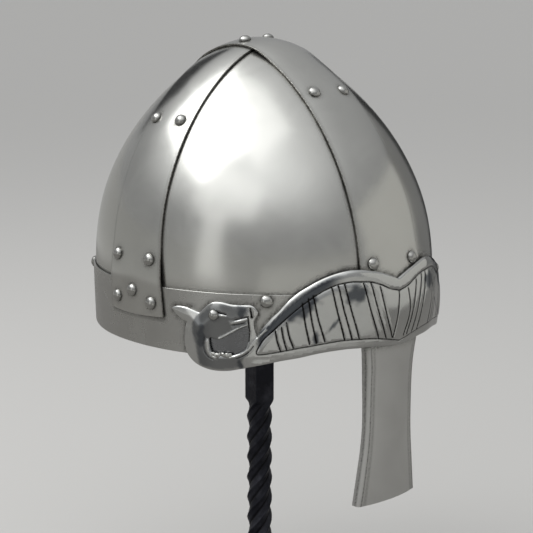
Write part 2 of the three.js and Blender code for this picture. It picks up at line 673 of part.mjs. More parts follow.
/** The dished head that the crown rests on, in the helmet's own frame. */
function standHead() {
  const [rings, sides] = [4, 20];
  const radii = spread(HEAD_RADIUS / rings, HEAD_RADIUS, rings - 1);
  const headSeat = (radius, turn) => {
    const start = new THREE.Vector3(radius * Math.cos(turn), CROWN_LEAN + radius * Math.sin(turn),
      CAST_HEIGHT);
    const dish = HEAD_DISH * (1 - smoothstep(radius, HEAD_RADIUS / 3, HEAD_RADIUS));
    return seatAlong(start, new THREE.Vector3(0, 0, 1), -SHEET - GAP - HEAD_THICKNESS - dish);
  };
  const turns = spread(0, 2 * Math.PI, sides).slice(0, sides);
  const seats = radii.flatMap((radius) => turns.map((turn) => headSeat(radius, turn)));
  const middle = seats.push(headSeat(0, 0)) - 1;
  const faces = gridFaces(rings, sides, true).map((face) => face.reverse());
  turns.forEach((_, index) => faces.push([middle, index, (index + 1) % sides]));
  return sheetGeometry(seats, faces, HEAD_THICKNESS);
}

/** The round base. */
function standBase() {
  const profile = [
    [0, 0],
    [BASE_RADIUS, 0],
    [BASE_RADIUS, BASE_THICKNESS - BASE_BEVEL],
    [BASE_RADIUS - BASE_BEVEL, BASE_THICKNESS],
    [0, BASE_THICKNESS],
  ].map(([radius, height]) => new THREE.Vector2(radius, height));
  const turned = new THREE.LatheGeometry(profile, 36).rotateX(Math.PI / 2);
  return fromSolid(toSolid(turned));
}

// ------------------------------------------------------------------ assembly

/** The helmet's sheet-metal pieces before they are drilled. */
function helmetSheets() {
  return [
    ['infill_plate_front_right', infillPlate(-1, -1), STEEL],
    ['infill_plate_front_left', infillPlate(1, -1), STEEL],
    ['infill_plate_rear_right', infillPlate(-1, 1), STEEL],
    ['infill_plate_rear_left', infillPlate(1, 1), STEEL],
    ['brow_band', browBand(), STEEL],
    ['side_strip_right', sideStrip(-1), STEEL],
    ['side_strip_left', sideStrip(1), STEEL],
    ['long_strip', longStrip(), STEEL],
    ['brow_plate', browPlate(), MIRROR_STEEL],
    ['nasal', nasal(), SATIN_STEEL],
  ];
}

/** The helmet: drilled sheets and the rivets through them. */
function buildHelmet() {
  const helmet = new THREE.Group();
  helmet.position.set(0, -CROWN_LEAN, RIM_HEIGHT);
  const rivets = rivetPlan();
  for (const [name, sheet, finish] of helmetSheets()) {
    let solid = toSolid(sheet);
    for (const rivet of rivets.filter(({ sheets }) => sheets.includes(name))) {
      solid = solid.subtract(holeCutter(rivet));
    }
    helmet.add(pieceMesh(name, fromSolid(solid), finish));
  }
  for (const rivet of rivets) {
    helmet.add(pieceMesh(rivet.name, rivetGeometry(rivet), RIVET_STEEL));
  }
  return helmet;
}

/** The stand: base, bar and head. */
function buildStand() {
  const stand = new THREE.Group();
  const headUnderside = RIM_HEIGHT + CROWN_HEIGHT - SHEET - GAP - HEAD_THICKNESS - HEAD_DISH;
  stand.add(pieceMesh('stand_base', standBase(), BLACK_IRON));
  stand.add(pieceMesh('stand_bar', standBar(headUnderside - BAR_HEAD_ROOM), BLACK_IRON));
  const head = pieceMesh('stand_head', standHead(), BLACK_IRON);
  head.position.set(0, -CROWN_LEAN, RIM_HEIGHT);
  stand.add(head);
  return stand;
}

const helmetOnStand = new THREE.Group();
helmetOnStand.add(buildHelmet(), buildStand());

export default helmetOnStand;
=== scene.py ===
"""A spangenhelm on a twisted iron stand: fine surfaces, finishes, studio and camera.

Lengths are millimetres in the helmet's own frame until a mesh is made: z = 0 is the rim, the face
looks along -Y and the wearer's right is -X. `to_row` turns them into the row's metres.
"""

import sys

import logging
import math
from collections.abc import Sequence
from dataclasses import dataclass, field
from enum import Enum

import bpy
import numpy as np
from bpy.types import Material, Node, NodeSocket, NodeTree, Object
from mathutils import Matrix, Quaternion, Vector
from mathutils.geometry import delaunay_2d_cdt


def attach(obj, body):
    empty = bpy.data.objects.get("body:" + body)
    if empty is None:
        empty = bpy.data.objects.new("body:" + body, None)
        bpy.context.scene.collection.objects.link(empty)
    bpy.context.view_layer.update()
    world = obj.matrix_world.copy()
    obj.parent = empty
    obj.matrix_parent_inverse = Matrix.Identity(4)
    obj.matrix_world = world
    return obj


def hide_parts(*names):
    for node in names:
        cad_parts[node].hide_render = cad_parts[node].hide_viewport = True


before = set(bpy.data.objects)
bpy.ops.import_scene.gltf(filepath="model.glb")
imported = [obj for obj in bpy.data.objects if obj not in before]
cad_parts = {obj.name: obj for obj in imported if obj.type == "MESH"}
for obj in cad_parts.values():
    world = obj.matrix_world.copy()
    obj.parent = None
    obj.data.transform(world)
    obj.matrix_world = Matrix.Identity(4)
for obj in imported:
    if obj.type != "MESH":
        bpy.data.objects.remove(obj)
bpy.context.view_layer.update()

LOG = logging.getLogger("spangenhelm")
Array = np.ndarray
Line = Sequence[tuple[float, float]]
Triple = tuple[float, float, float]

RIM_HEIGHT = 225.0
HELMET_SHIFT = -4.0


class Sign(Enum):
    """A choice of two ways along an axis."""

    @property
    def word(self) -> str:
        """Its name as node names have it."""
        return self.name.lower()


class Side(Sign):
    """A side of the wearer, as the sign of X."""

    RIGHT = -1
    LEFT = 1


class End(Sign):
    """An end of the helmet, as the sign of Y."""

    FRONT = -1
    REAR = 1


class Slot(Enum):
    """The record's material slots."""

    PLATE = "plate_steel"
    BAND = "band_steel"
    STRIP = "strip_steel"
    BROW = "brow_steel"
    NASAL = "nasal_steel"
    RIVET = "rivet_steel"
    IRON = "black_iron"


# ---- numbers and lines


def to_row(points: Array) -> Array:
    """Turns helmet millimetres into the row frame's metres."""
    return (points + np.array([0.0, HELMET_SHIFT, RIM_HEIGHT])) / 1000.0


def smooth(value: Array | float, low: float, high: float) -> Array:
    """A soft step from 0 at `low` to 1 at `high`."""
    t = np.clip((np.asarray(value, float) - low) / (high - low), 0.0, 1.0)
    return t * t * (3.0 - 2.0 * t)


def stacked(*columns: Array | float) -> Array:
    """Sets coordinates side by side, a plain number for a whole column."""
    return np.stack(np.broadcast_arrays(*columns), axis=-1)


def fades(away: Array, start: float, over: float) -> Array:
    """1 up to a distance, then dying away over another."""
    return np.exp(-np.maximum(0, away - start) / over)


def read_table(table: Line, place: Array | float) -> Array:
    """Reads a list of (place, value) pairs along a smooth curve.

    Args:
        table: Pairs in rising order of place.
        place: Where to read.

    Returns:
        The values there, held level past both ends.
    """
    xs, ys = (np.array(column, float) for column in zip(*table))
    slopes = np.gradient(ys, xs)
    at = np.clip(place, xs[0], xs[-1])
    i = np.clip(np.searchsorted(xs, at) - 1, 0, len(xs) - 2)
    run = xs[i + 1] - xs[i]
    t = (at - xs[i]) / run
    rise = ys[i + 1] - ys[i]
    ease = t * t * (3 - 2 * t)
    left, right = t * (1 - t) ** 2, t * t * (1 - t)
    return ys[i] + rise * ease + run * (slopes[i] * left - slopes[i + 1] * right)


def rounded_line(points: Line, step: float) -> Array:
    """A smooth line through places, as points at even steps.

    Args:
        points: The places, two or more.
        step: The distance between neighbours, mm.

    Returns:
        An N by 2 array, both ends included.
    """
    p = np.array(points, float)
    if len(p) > 2:
        padded = np.vstack([2 * p[0] - p[1], p, 2 * p[-1] - p[-2]])
        t = np.linspace(0, 1, 24, endpoint=False)[:, None]
        runs = []
        for a, b, c, d in zip(padded, padded[1:], padded[2:], padded[3:]):
            runs.append(0.5 * (2 * b + (c - a) * t + (2 * a - 5 * b + 4 * c - d) * t**2
                               + (3 * b - a - 3 * c + d) * t**3))
        p = np.vstack([*runs, p[-1:]])
    lengths = np.hypot(*np.diff(p, axis=0).T)
    along = np.concatenate([[0.0], np.cumsum(lengths)])
    spans = max(1, round(along[-1] / step))
    at = np.linspace(0, along[-1], spans + 1)
    return np.stack([np.interp(at, along, p[:, axis]) for axis in (0, 1)], axis=1)


def closed(loop: Array) -> Array:
    """A loop with its first place again at its end."""
    return np.vstack([loop, loop[:1]])


def leftward(run: Array) -> Array:
    """The unit directions to the left of steps on the flat."""
    return stacked(-run[:, 1], run[:, 0]) / np.hypot(*run.T)[:, None]


def distance_to_line(points: Array, line: Array) -> Array:
    """Measures how far flat places are from an open line.

    Args:
        points: The places, N by 2.
        line: The line's corners, M by 2.

    Returns:
        N distances.
    """
    best = np.full(len(points), np.inf)
    for a, b in zip(line, line[1:]):
        run = b - a
        t = np.clip((points - a) @ run / max(run @ run, 1e-12), 0, 1)
        best = np.minimum(best, np.hypot(*(points - a - t[:, None] * run).T))
    return best


def within(points: Array, loop: Array) -> Array:
    """Tells which flat places are inside a closed loop.

    Args:
        points: The places, N by 2.
        loop: The loop's corners, the first not repeated.

    Returns:
        N truths.
    """
    x, y = points.T
    odd = np.zeros(len(points), bool)
    for (xa, ya), (xb, yb) in zip(loop, np.roll(loop, -1, axis=0)):
        crosses = (ya > y) != (yb > y)
        with np.errstate(divide="ignore", invalid="ignore"):
            odd ^= crosses & (x < (xb - xa) * (y - ya) / (yb - ya) + xa)
    return odd


def beaten(points: Array, depth: float, seed: int, low: float = 34.0, high: float = 90.0) -> Array:
    """The faint unevenness that hand work leaves in a sheet.

    Args:
        points: Places, mm.
        depth: About how far it strays from true, mm.
        seed: Which pattern.
        low: The shortest swell, mm.
        high: The longest, mm.

    Returns:
        The stray at each place, mm.
    """
    rng = np.random.default_rng(seed)
    total = np.zeros(points.shape[:-1])
    for _ in range(7):
        way = rng.normal(size=3)
        way *= 2 * math.pi / rng.uniform(low, high) / np.linalg.norm(way)
        total += np.sin(points @ way + rng.uniform(0, 2 * math.pi))
    return total * depth / math.sqrt(7)


# ---- the dome


@dataclass(frozen=True)
class Dome:
    """The outer face of the infill plates, on which every sheet is laid.

    Attributes:
        half_length: Plan oval, middle to front.
        half_width: Plan oval, middle to side.
        crown: Rim to crown.
        lean: How far the crown lies behind the middle of the rim.
        spring: Upright below this height.
        shoulder: Fullness above it.
        cast_height: Strips fan out from this height on the axis.
        brow_lift: How far the brow plate's middle stands off its face.
    """

    half_length: float = 111.5
    half_width: float = 103.5
    crown: float = 174.2
    lean: float = 4.0
    spring: float = 36.0
    shoulder: float = 0.76
    cast_height: float = 60.0
    brow_lift: float = 4.0

    def field(self, p: Array) -> Array:
        """Tells inside from outside.

        Args:
            p: Places.

        Returns:
            Below zero inside the dome, zero on its face.
        """
        rise = np.maximum(0, (p[..., 2] - self.spring) / (self.crown - self.spring))
        room = 1 - rise**2 * (1 + self.shoulder * rise * (1 - rise))
        y = p[..., 1] - self.axis_y(p[..., 2])
        return (p[..., 0] / self.half_width) ** 2 + (y / self.half_length) ** 2 - room

    def axis_y(self, z: Array | float) -> Array | float:
        """How far back the leaning axis is at a height."""
        return self.lean * z / self.crown

    def normals(self, p: Array) -> Array:
        """Finds the directions straight out of the dome.

        Args:
            p: Places near its face.

        Returns:
            A unit direction for each.
        """
        step = np.eye(3) * 0.05
        slope = np.stack([self.field(p + s) - self.field(p - s) for s in step], axis=-1)
        return slope / np.linalg.norm(slope, axis=-1, keepdims=True)

    def cast(self, start: Array, way: Array) -> Array:
        """Finds where lines from inside the dome meet its face.

        Args:
            start: Where the lines start.
            way: Their directions.

        Returns:
            The places on the face.
        """
        start, way = np.broadcast_arrays(np.asarray(start, float), np.asarray(way, float))
        near = np.zeros(start.shape[:-1])
        far = np.full(start.shape[:-1], 2 * self.crown)
        for _ in range(44):
            middle = (near + far) / 2
            inside = self.field(start + way * middle[..., None]) < 0
            near, far = np.where(inside, middle, near), np.where(inside, far, middle)
        return start + way * near[..., None]

    def around(self, angle: Array, z: Array) -> Array:
        """Finds places on the face by angle and height.

        Args:
            angle: Round the helmet from the front, towards +X.
            z: Height over the rim.

        Returns:
            The places.
        """
        angle, z = np.broadcast_arrays(np.asarray(angle, float), np.asarray(z, float))
        level = np.zeros_like(z)
        start = stacked(level, self.axis_y(z), z)
        return self.cast(start, stacked(np.sin(angle), -np.cos(angle), level))

    def angle_of(self, p: Array) -> Array:
        """The angle round the helmet of a place."""
        return np.arctan2(p[..., 0], self.axis_y(p[..., 2]) - p[..., 1])

    def brow_run(self) -> tuple[Array, Array]:
        """Measures round the brow plate.

        Returns:
            Angles from the front, and the distances to them.
        """
        turn = np.linspace(0, math.pi, 721)
        across = np.sin(turn) / (self.half_width + self.brow_lift)
        along = np.cos(turn) / (self.half_length + self.brow_lift)
        return turn, np.concatenate([[0], np.cumsum(np.diff(turn) / np.hypot(across, along)[:-1])])

    def angle_along(self, distance: Array) -> Array:
        """The angle at a distance from the front along the brow plate."""
        turn, run = self.brow_run()
        return np.sign(distance) * np.interp(np.abs(distance), run, turn)

    def laid_out(self, p: Array) -> Array:
        """Turns places round into the brow plate's flat layout.

        Args:
            p: Places on the dome.

        Returns:
            The distance from the front and the height of each.
        """
        turn, run = self.brow_run()
        angle = self.angle_of(p)
        return stacked(np.sign(angle) * np.interp(np.abs(angle), turn, run), p[..., 2])


DOME = Dome()


@dataclass(frozen=True)
class Layers:
    """How the sheets lie over each other, and where the strips run.

    Attributes:
        sheet: Thickness of the sheet.
        gap: Room between two sheets.
        band_top: Height of the band's top edge.
        strip_foot: Height of the strips' lower ends.
        settle: A strip comes down from the band to the plates between these heights over its edge.
        long_half: Half the long strip's width at its feet.
        long_taper: Taken off each of its edges by the crown.
        side_half: Half a side strip's width at the rim's height.
        side_taper: Taken off each of its edges, per mm of height.
        side_foot: Where a side strip's middle would meet the rim, as y.
        side_rake: How far it leans back, per mm of height.
        crossing: The long strip comes down from the side strips between these distances.
    """

    sheet: float = 1.2
    gap: float = 0.34
    band_top: float = 36.8
    strip_foot: float = 18.2
    settle: tuple[float, float] = (1.5, 24.0)
    long_half: float = 24.8
    long_taper: float = 6.0
    side_half: float = 23.5
    side_taper: float = 0.025
    side_foot: float = -4.5
    side_rake: float = 0.08
    crossing: tuple[float, float] = (20.0, 42.0)

    @property
    def layer(self) -> float:
        """One sheet and its gap."""
        return self.sheet + self.gap

    def strip_lift(self, z: Array) -> Array:
        """How far a strip's back is off the plates: on the band at its foot, then down."""
        return self.gap + self.layer * (1 - smooth(z - self.band_top, *self.settle))

    def long_half_width(self, z: Array) -> Array:
        """Half the long strip's width at a height."""
        return self.long_half - self.long_taper * np.maximum(0, z / DOME.crown) ** 2.4

    def side_half_width(self, z: Array) -> Array:
        """Half a side strip's width at a height."""
        return self.side_half - self.side_taper * z

    def side_middle(self, z: Array) -> Array:
        """Where the middle of a side strip runs, as y."""
        return self.side_foot + self.side_rake * z

    def long_lift(self, p: Array) -> Array:
        """Measures how far the long strip's back is off the plates.

        Args:
            p: Places on the dome.

        Returns:
            The lift there, over the band, over the side strips or on the plates.
        """
        from_crossing = np.abs(p[..., 1] - self.side_middle(DOME.crown))
        over = self.gap + self.layer * (1 - smooth(from_crossing, *self.crossing))
        crown = np.where(p[..., 2] > DOME.cast_height, over, 0)
        return np.maximum(self.strip_lift(p[..., 2]), crown)


LAYERS = Layers()


# ---- meshes


@dataclass
class Patch:
    """Seats of a sheet.

    Attributes:
        points: N by 3 places of its back.
        normals: N by 3 directions out.
        faces: Rows of corners, all threes or all fours.
        marks: Values per seat for the material, by name.
    """

    points: Array
    normals: Array
    faces: Array
    marks: dict[str, Array] = field(default_factory=dict)


def grid_faces(rows: int, columns: int, joined: bool = False) -> Array:
    """Makes the four-cornered faces of a grid of points, laid row after row.

    Args:
        rows: How many rows.
        columns: How many points in each.
        joined: Whether each row is a ring.

    Returns:
        The faces' corners, by number.
    """
    row = np.arange(rows - 1)[:, None] * columns
    column = np.arange(columns if joined else columns - 1)[None, :]
    after = (column + 1) % columns
    below = row + columns
    return stacked(row + column, row + after, below + after, below + column).reshape(-1, 4)


def tight_spread(low: float, high: float, spans: int, rim: float = 0.006) -> Array:
    """Makes even steps with one more close to each end, which keeps an edge crisp.

    Args:
        low: Where they start.
        high: Where they end.
        spans: How many even steps.
        rim: How close the extra ones are, as a part of the whole.

    Returns:
        The places of the steps.
    """
    t = np.linspace(0, 1, spans + 1)
    t = np.concatenate([[0, rim], t[1:-1], [1 - rim, 1]])
    return low + (high - low) * t


def new_object(name: str, verts: Array, faces: Sequence[Sequence[int]]) -> Object:
    """Makes a smooth-shaded mesh object in the scene.

    Args:
        name: The object's name.
        verts: Its points, in the row's metres.
        faces: Their corners, by number.

    Returns:
        The object.
    """
    mesh = bpy.data.meshes.new(name)
    mesh.from_pydata(verts.tolist(), [], [list(map(int, face)) for face in faces])
    mesh.update()
    mesh.shade_smooth()
    obj = bpy.data.objects.new(name, mesh)
    bpy.context.scene.collection.objects.link(obj)
    return obj


def applied(obj: Object) -> Object:
    """Turns an object's modifiers into plain mesh and takes them off.

    Args:
        obj: The object.

    Returns:
        The same object.
    """
    graph = bpy.context.evaluated_depsgraph_get()
    graph.update()
    made = bpy.data.meshes.new_from_object(obj.evaluated_get(graph), depsgraph=graph)
    obj.modifiers.clear()
    old, obj.data = obj.data, made
    made.name = obj.name
    bpy.data.meshes.remove(old)
    return obj


def shell(name: str, patch: Patch, thickness: float, edge: float) -> Object:
    """Builds a closed sheet with a rounded edge.

    Args:
        name: The piece's name.
        patch: Seats of the sheet's back.
        thickness: mm.
        edge: How much of the edge is rounded off, mm.

    Returns:
        The finished object.
    """
    count = len(patch.points)
    verts = to_row(np.vstack([patch.points, patch.points + patch.normals * thickness]))
    corner = patch.points[patch.faces[0]]
    facing = patch.normals[patch.faces[0][0]]
    turned = np.cross(corner[1] - corner[0], corner[2] - corner[0]) @ facing
    front = patch.faces if turned > 0 else patch.faces[:, ::-1]
    loose: dict[tuple[int, int], tuple[int, int]] = {}
    for face in front.tolist():
        for a, b in zip(face, face[1:] + face[:1]):
            if loose.pop((b, a), None) is None:
                loose[(a, b)] = (a, b)
    walls = [(a, b, b + count, a + count) for a, b in loose]
    faces = [*(front + count).tolist(), *front[:, ::-1].tolist(), *walls]
    obj = new_object(name, verts, faces)
    for mark, values in patch.marks.items():
        layer = obj.data.attributes.new(mark, "FLOAT", "POINT")
        layer.data.foreach_set("value", np.tile(values, 2).astype(np.float32))
    rim = {frozenset(pair) for a, b in loose for pair in ((a, b), (a + count, b + count))}
    weights = obj.data.attributes.new("bevel_weight_edge", "FLOAT", "EDGE")
    on_rim = [float(frozenset(e.vertices) in rim) for e in obj.data.edges]
    weights.data.foreach_set("value", on_rim)
    bevel = obj.modifiers.new("rounded edge", "BEVEL")
    bevel.limit_method = "WEIGHT"
    bevel.width = edge / 1000
    bevel.segments = 2
    bevel.harden_normals = True
    bevel.use_clamp_overlap = True
    return applied(obj)


def lathe(name: str, profile: Line, sides: int) -> Object:
    """Turns a profile about the row's Z.

    Args:
        name: The piece's name.
        profile: (radius, height over the floor) places, mm, from the axis to the axis.
        sides: How many sides a ring has.

    Returns:
        The object.
    """
    turn = np.linspace(0, 2 * math.pi, sides, endpoint=False)
    rings = [stacked(r * np.cos(turn), r * np.sin(turn), np.full(sides, z))
             for r, z in profile[1:-1]]
    verts = np.vstack([*rings, [[0, 0, profile[0][1]]], [[0, 0, profile[-1][1]]]]) / 1000
    faces = [tuple(face) for face in grid_faces(len(rings), sides, joined=True)]
    low, high = len(rings) * sides, len(rings) * sides + 1
    last = (len(rings) - 1) * sides
    for i in range(sides):
        j = (i + 1) % sides
        faces += [(low, j, i), (high, last + i, last + j)]
    return new_object(name, verts, faces)


# ---- node helpers


Feed = NodeSocket | Node | float
MATH, RANGE, NOISE, MIX = (
    f"ShaderNode{word}" for word in ("Math", "MapRange", "TexNoise", "Mix"))
PLUS, LESS, TIMES, OVER, TIMES_PLUS, LOWER, HIGHER, ABSOLUTE, ROOT, BELOW = (
    {"operation": word} for word in ("ADD", "SUBTRACT", "MULTIPLY", "DIVIDE", "MULTIPLY_ADD",
                                     "MINIMUM", "MAXIMUM", "ABSOLUTE", "SQRT", "LESS_THAN"))
CLAMPED = {"use_clamp": True}
EASED = {"interpolation_type": "SMOOTHSTEP"}
FLOAT, COLOUR, VECTOR = ({"data_type": word} for word in ("FLOAT", "RGBA", "FLOAT_VECTOR"))


def add_node(tree: NodeTree, kind: str, settings: dict | None = None,
             links: dict | Sequence | None = None) -> Node:
    """Adds a node with its settings and what feeds its inputs.

    Args:
        tree: The tree that gets it.
        kind: The node's type name.
        settings: Properties to set.
        links: Input name or number to a socket, a node (by its first output) or a plain value, or
            what feeds the first inputs in order.

    Returns:
        The node.
    """
    node = tree.nodes.new(kind)
    for key, value in (settings or {}).items():
        setattr(node, key, value)
    for key, value in links.items() if isinstance(links, dict) else enumerate(links or ()):
        if isinstance(value, Node):
            value = value.outputs[0]
        if isinstance(value, NodeSocket):
            tree.links.new(value, node.inputs[key])
        else:
            node.inputs[key].default_value = value
    return node


def linear(colour: str) -> tuple[float, float, float, float]:
    """Turns a colour to linear light.

    Args:
        colour: sRGB hex, as #RRGGBB.

    Returns:
        Red, green, blue and a full alpha.
    """
    parts = [int(colour[i:i + 2], 16) / 255 for i in (1, 3, 5)]
    red, green, blue = (c / 12.92 if c <= 0.04045 else ((c + 0.055) / 1.055) ** 2.4 for c in parts)
    return red, green, blue, 1.0


def grained(tree: NodeTree, size: float, detail: float, roughness: float,
            way: Triple = (1, 1, 1), bend: float = 0.0) -> Node:
    """Lays a mottled grain over a piece, by its Object coordinates.

    Args:
        tree: The material's tree.
        size: The grain's size, mm.
        detail: How many finer layers it has.
        roughness: How strong they are.
        way: How it is drawn out along X, Y and Z.
        bend: How much it wavers.

    Returns:
        The noise.
    """
    place = add_node(tree, "ShaderNodeTexCoord").outputs["Object"]
    mapped = add_node(tree, "ShaderNodeMapping", None,
                      {"Vector": place, "Scale": [1000 * share for share in way]})
    return add_node(tree, NOISE, None,
                    {"Vector": mapped, "Scale": 1 / size, "Detail": detail,
                     "Roughness": roughness, "Distortion": bend})


# ---- finishes


class Finish:
    """A finish, whose material is made once and handed out again after that."""

    name: str

    def material(self) -> Material:
        """Makes the material, or finds it.

        Returns:
            The material.
        """
        made = bpy.data.materials.get(self.name)
        if made:
            return made
        made = bpy.data.materials.new(self.name)
        made.use_nodes = True
        tree = made.node_tree
        tree.nodes.clear()
        add_node(tree, "ShaderNodeOutputMaterial", None, {"Surface": self.surface(tree)})
        return made

    def surface(self, tree: NodeTree) -> Node:
        """Builds the finish's nodes and returns its shader."""
        raise NotImplementedError


@dataclass(frozen=True)
class Steel(Finish):
    """Bare mild steel sheet, ground and polished by hand.

    Attributes:
        name: The finish's name.
        colour: Clean metal, sRGB.
        soiled: Metal where the piece is marked dark, sRGB: black polish left in the engraving, and
            painted shade in seams, round rivets, beside the brow plate, in the nasal's creases and
            low on the rivet heads.
        gloss: Roughness where the buff reached best.
        dull: Roughness where it reached least.
        streak: Spacing of the buffing marks, mm. Real ones are nearer 0.1, too fine to show.
        streak_way: How the marks are drawn out along X, Y and Z.
        streak_depth: Depth of the marks, mm.
        swell: Size of the cloudy patches of polish, mm.
        speck: Size of the gaps in the dark marks, mm.
        tarnish: A blue-grey, sRGB, where the piece is marked for it: painted shade on the band
            behind the beasts' mouths; on the brow plate, painted dark reflections on the beasts'
            faces and in spots, and a darker tone on the outer eyebrows.
    """

    name: str
    colour: str
    soiled: str
    gloss: float
    dull: float
    streak: float = 0.5
    streak_way: Triple = (1.0, 1.0, 0.06)
    streak_depth: float = 0.004
    swell: float = 26.0
    speck: float = 1.1
    tarnish: str = "#797B7F"

    def surface(self, tree: NodeTree) -> Node:
        """Clouds the polish, draws the buffing marks, and darkens where the piece is marked: black
        polish in the engraving, painted shade and painted dark reflections.

        Args:
            tree: The material's tree.

        Returns:
            The shader.
        """
        cloud = grained(tree, self.swell, 5.0, 0.62, bend=0.6)
        marks = grained(tree, self.streak, 3.0, 0.6, self.streak_way)
        patchy = add_node(tree, RANGE, None,
                          {"Value": grained(tree, self.speck, 3.0, 0.7), "From Min": 0.36,
                           "From Max": 0.66, "To Min": 0.35, "To Max": 1.0})
        # Dark marks: black polish left in the engraving, and painted shade in seams, round rivets,
        # beside the brow plate, in the nasal's creases and low on the rivet heads.
        grime = add_node(tree, "ShaderNodeAttribute", {"attribute_name": "grime"})
        soil_and_shade = add_node(tree, MATH, TIMES | CLAMPED, [grime.outputs["Fac"], patchy])
        tone = add_node(tree, RANGE, None,
                        {"Value": cloud, "From Min": 0.3, "From Max": 0.7,
                         "To Min": 0.93, "To Max": 1.0})
        clean = add_node(tree, "ShaderNodeVectorMath", {"operation": "SCALE"},
                         {0: linear(self.colour)[:3], "Scale": tone})
        # Blue-grey: painted shade on the band behind the beasts' mouths; on the brow plate,
        # painted dark reflections and a darker tone on the outer eyebrows.
        film = add_node(tree, "ShaderNodeAttribute", {"attribute_name": "tarnish"})
        blue_greyed = add_node(tree, MIX, COLOUR,
                          {"Factor": film.outputs["Fac"], 6: clean, 7: linear(self.tarnish)})
        colour = add_node(tree, MIX, COLOUR,
                          {"Factor": soil_and_shade, 6: blue_greyed.outputs[2], 7: linear(self.soiled)})
        polish = add_node(tree, RANGE, None,
                          {"Value": cloud, "From Min": 0.3, "From Max": 0.72,
                           "To Min": self.gloss, "To Max": self.dull})
        fine = add_node(tree, MATH, TIMES_PLUS, [marks, 0.06, polish])
        rough = add_node(tree, MATH, TIMES_PLUS | CLAMPED, [soil_and_shade, 0.28, fine])
        bump = add_node(tree, "ShaderNodeBump", None,
                        {"Height": marks, "Strength": 1.0, "Distance": self.streak_depth / 1000})
        pits = add_node(tree, "ShaderNodeBump", None,
                        {"Height": soil_and_shade, "Strength": 0.5, "Distance": 0.00005, "Normal": bump})
        return add_node(tree, "ShaderNodeBsdfPrincipled", None,
                        {"Base Color": colour.outputs[2], "Metallic": 1.0, "Roughness": rough,
                         "Normal": pits})


@dataclass(frozen=True)
class ForgedIron(Finish):
    """Wrought iron blackened in the fire.

    Attributes:
        name: The finish's name.
        colour: The scale, sRGB.
        worn: Iron where the scale is rubbed thin, sRGB.
        soot: Painted shade down in the twist's grooves, sRGB.
        grain: Size of the pitting, mm.
        wear: Size of the rubbed patches, mm.
    """

    name: str = "fire_blacked_iron"
    colour: str = "#23242B"
    worn: str = "#4A4B53"
    soot: str = "#0C0C0F"
    grain: float = 2.2
    wear: float = 14.0

    def surface(self, tree: NodeTree) -> Node:
        """Pits the scale, rubs it thin in patches and paints shade in the grooves.

        Args:
            tree: The material's tree.

        Returns:
            The shader.
        """
        pits = grained(tree, self.grain, 6.0, 0.65)
        wear = add_node(tree, RANGE, None,
                        {"Value": grained(tree, self.wear, 4.0, 0.6), "From Min": 0.45,
                         "From Max": 0.75, "To Min": 0.0, "To Max": 0.8})
        colour = add_node(tree, MIX, COLOUR,
                          {"Factor": wear, 6: linear(self.colour), 7: linear(self.worn)})
        # Painted shade in the twist's grooves.
        grime = add_node(tree, "ShaderNodeAttribute", {"attribute_name": "grime"})
        groove_shaded = add_node(tree, MIX, COLOUR,
                         {"Factor": grime.outputs["Fac"], 6: colour.outputs[2],
                          7: linear(self.soot)})
        rough = add_node(tree, RANGE, None,
                         {"Value": pits, "From Min": 0.3, "From Max": 0.7,
                          "To Min": 0.36, "To Max": 0.6})
        bump = add_node(tree, "ShaderNodeBump", None,
                        {"Height": pits, "Strength": 0.7, "Distance": 0.0003})
        return add_node(tree, "ShaderNodeBsdfPrincipled", None,
                        {"Base Color": groove_shaded.outputs[2], "Metallic": 0.75, "Roughness": rough,
                         "Normal": bump})


@dataclass(frozen=True)
class Matte(Finish):
    """Matte paint, paper or cloth of the studio, in one even tone.

    Attributes:
        name: The finish's name.
        colour: sRGB.
        gleam: How much its face mirrors; 0.5 is the usual.
    """

    name: str
    colour: str
    gleam: float = 0.5

    def surface(self, tree: NodeTree) -> Node:
        """Makes an even, rough surface.

        Args:
            tree: The material's tree.

        Returns:
            The shader.
        """
        return add_node(tree, "ShaderNodeBsdfPrincipled", None,
                        {"Base Color": linear(self.colour), "Roughness": 1.0,
                         "Specular IOR Level": self.gleam})


# Buffed steel: broad, soft reflections, a little cloudy where the buff reached less. The strips
# are glossier than the plates, and the band, ground round its length, is duller than both.
# Each second colour is the dark of painted shade in seams, round rivets and beside the brow plate.
PLATE_STEEL = Steel("buffed_steel_plate", "#C9C9C4", "#4A4742", 0.16, 0.22)
STRIP_STEEL = Steel("buffed_steel_strip", "#C8C8C3", "#4A4742", 0.13, 0.2, streak=0.6)
BAND_STEEL = Steel("buffed_steel_band", "#BDBDB9", "#45423D", 0.19, 0.28,
                   streak_way=(0.06, 0.06, 1.0))
# Mirror-polished steel: sharp reflections, black polish left in the engraving.
# Its dark is black polish in the engraving and painted shade round the eye rivets; its blue-grey
# is painted dark reflection on the beasts' faces and in spots, and a darker tone on the outer
# eyebrows.
BROW_STEEL = Steel("mirror_polished_steel", "#CBCCC9", "#151413", 0.08, 0.14, streak_depth=0.0015,
                   tarnish="#3A4049")
# Satin steel: filed and rubbed down but not buffed, so it has a tone and no reflections.
# Its dark is painted shade in the fold's creases, on the turned-back edges and under the brow
# plate.
NASAL_STEEL = Steel("satin_steel", "#D2D2CF", "#4B4843", 0.42, 0.52,
                    streak=0.7, streak_depth=0.006)
# Peened steel: small hard highlights, broken by the hammer's dents.
# Its dark is painted shade low on each rivet head.
RIVET_STEEL = Steel("peened_steel_rivet", "#B2B2AE", "#33312E", 0.1, 0.18, streak_way=(1, 1, 1),
                    streak=1.6, streak_depth=0.03, swell=5.0)
# Fire-blacked iron: a thin blue-black scale with a dull, pitted skin.
# Its darkest colour is painted shade in the twist's grooves.
BLACK_IRON = ForgedIron()


# ---- rivet places


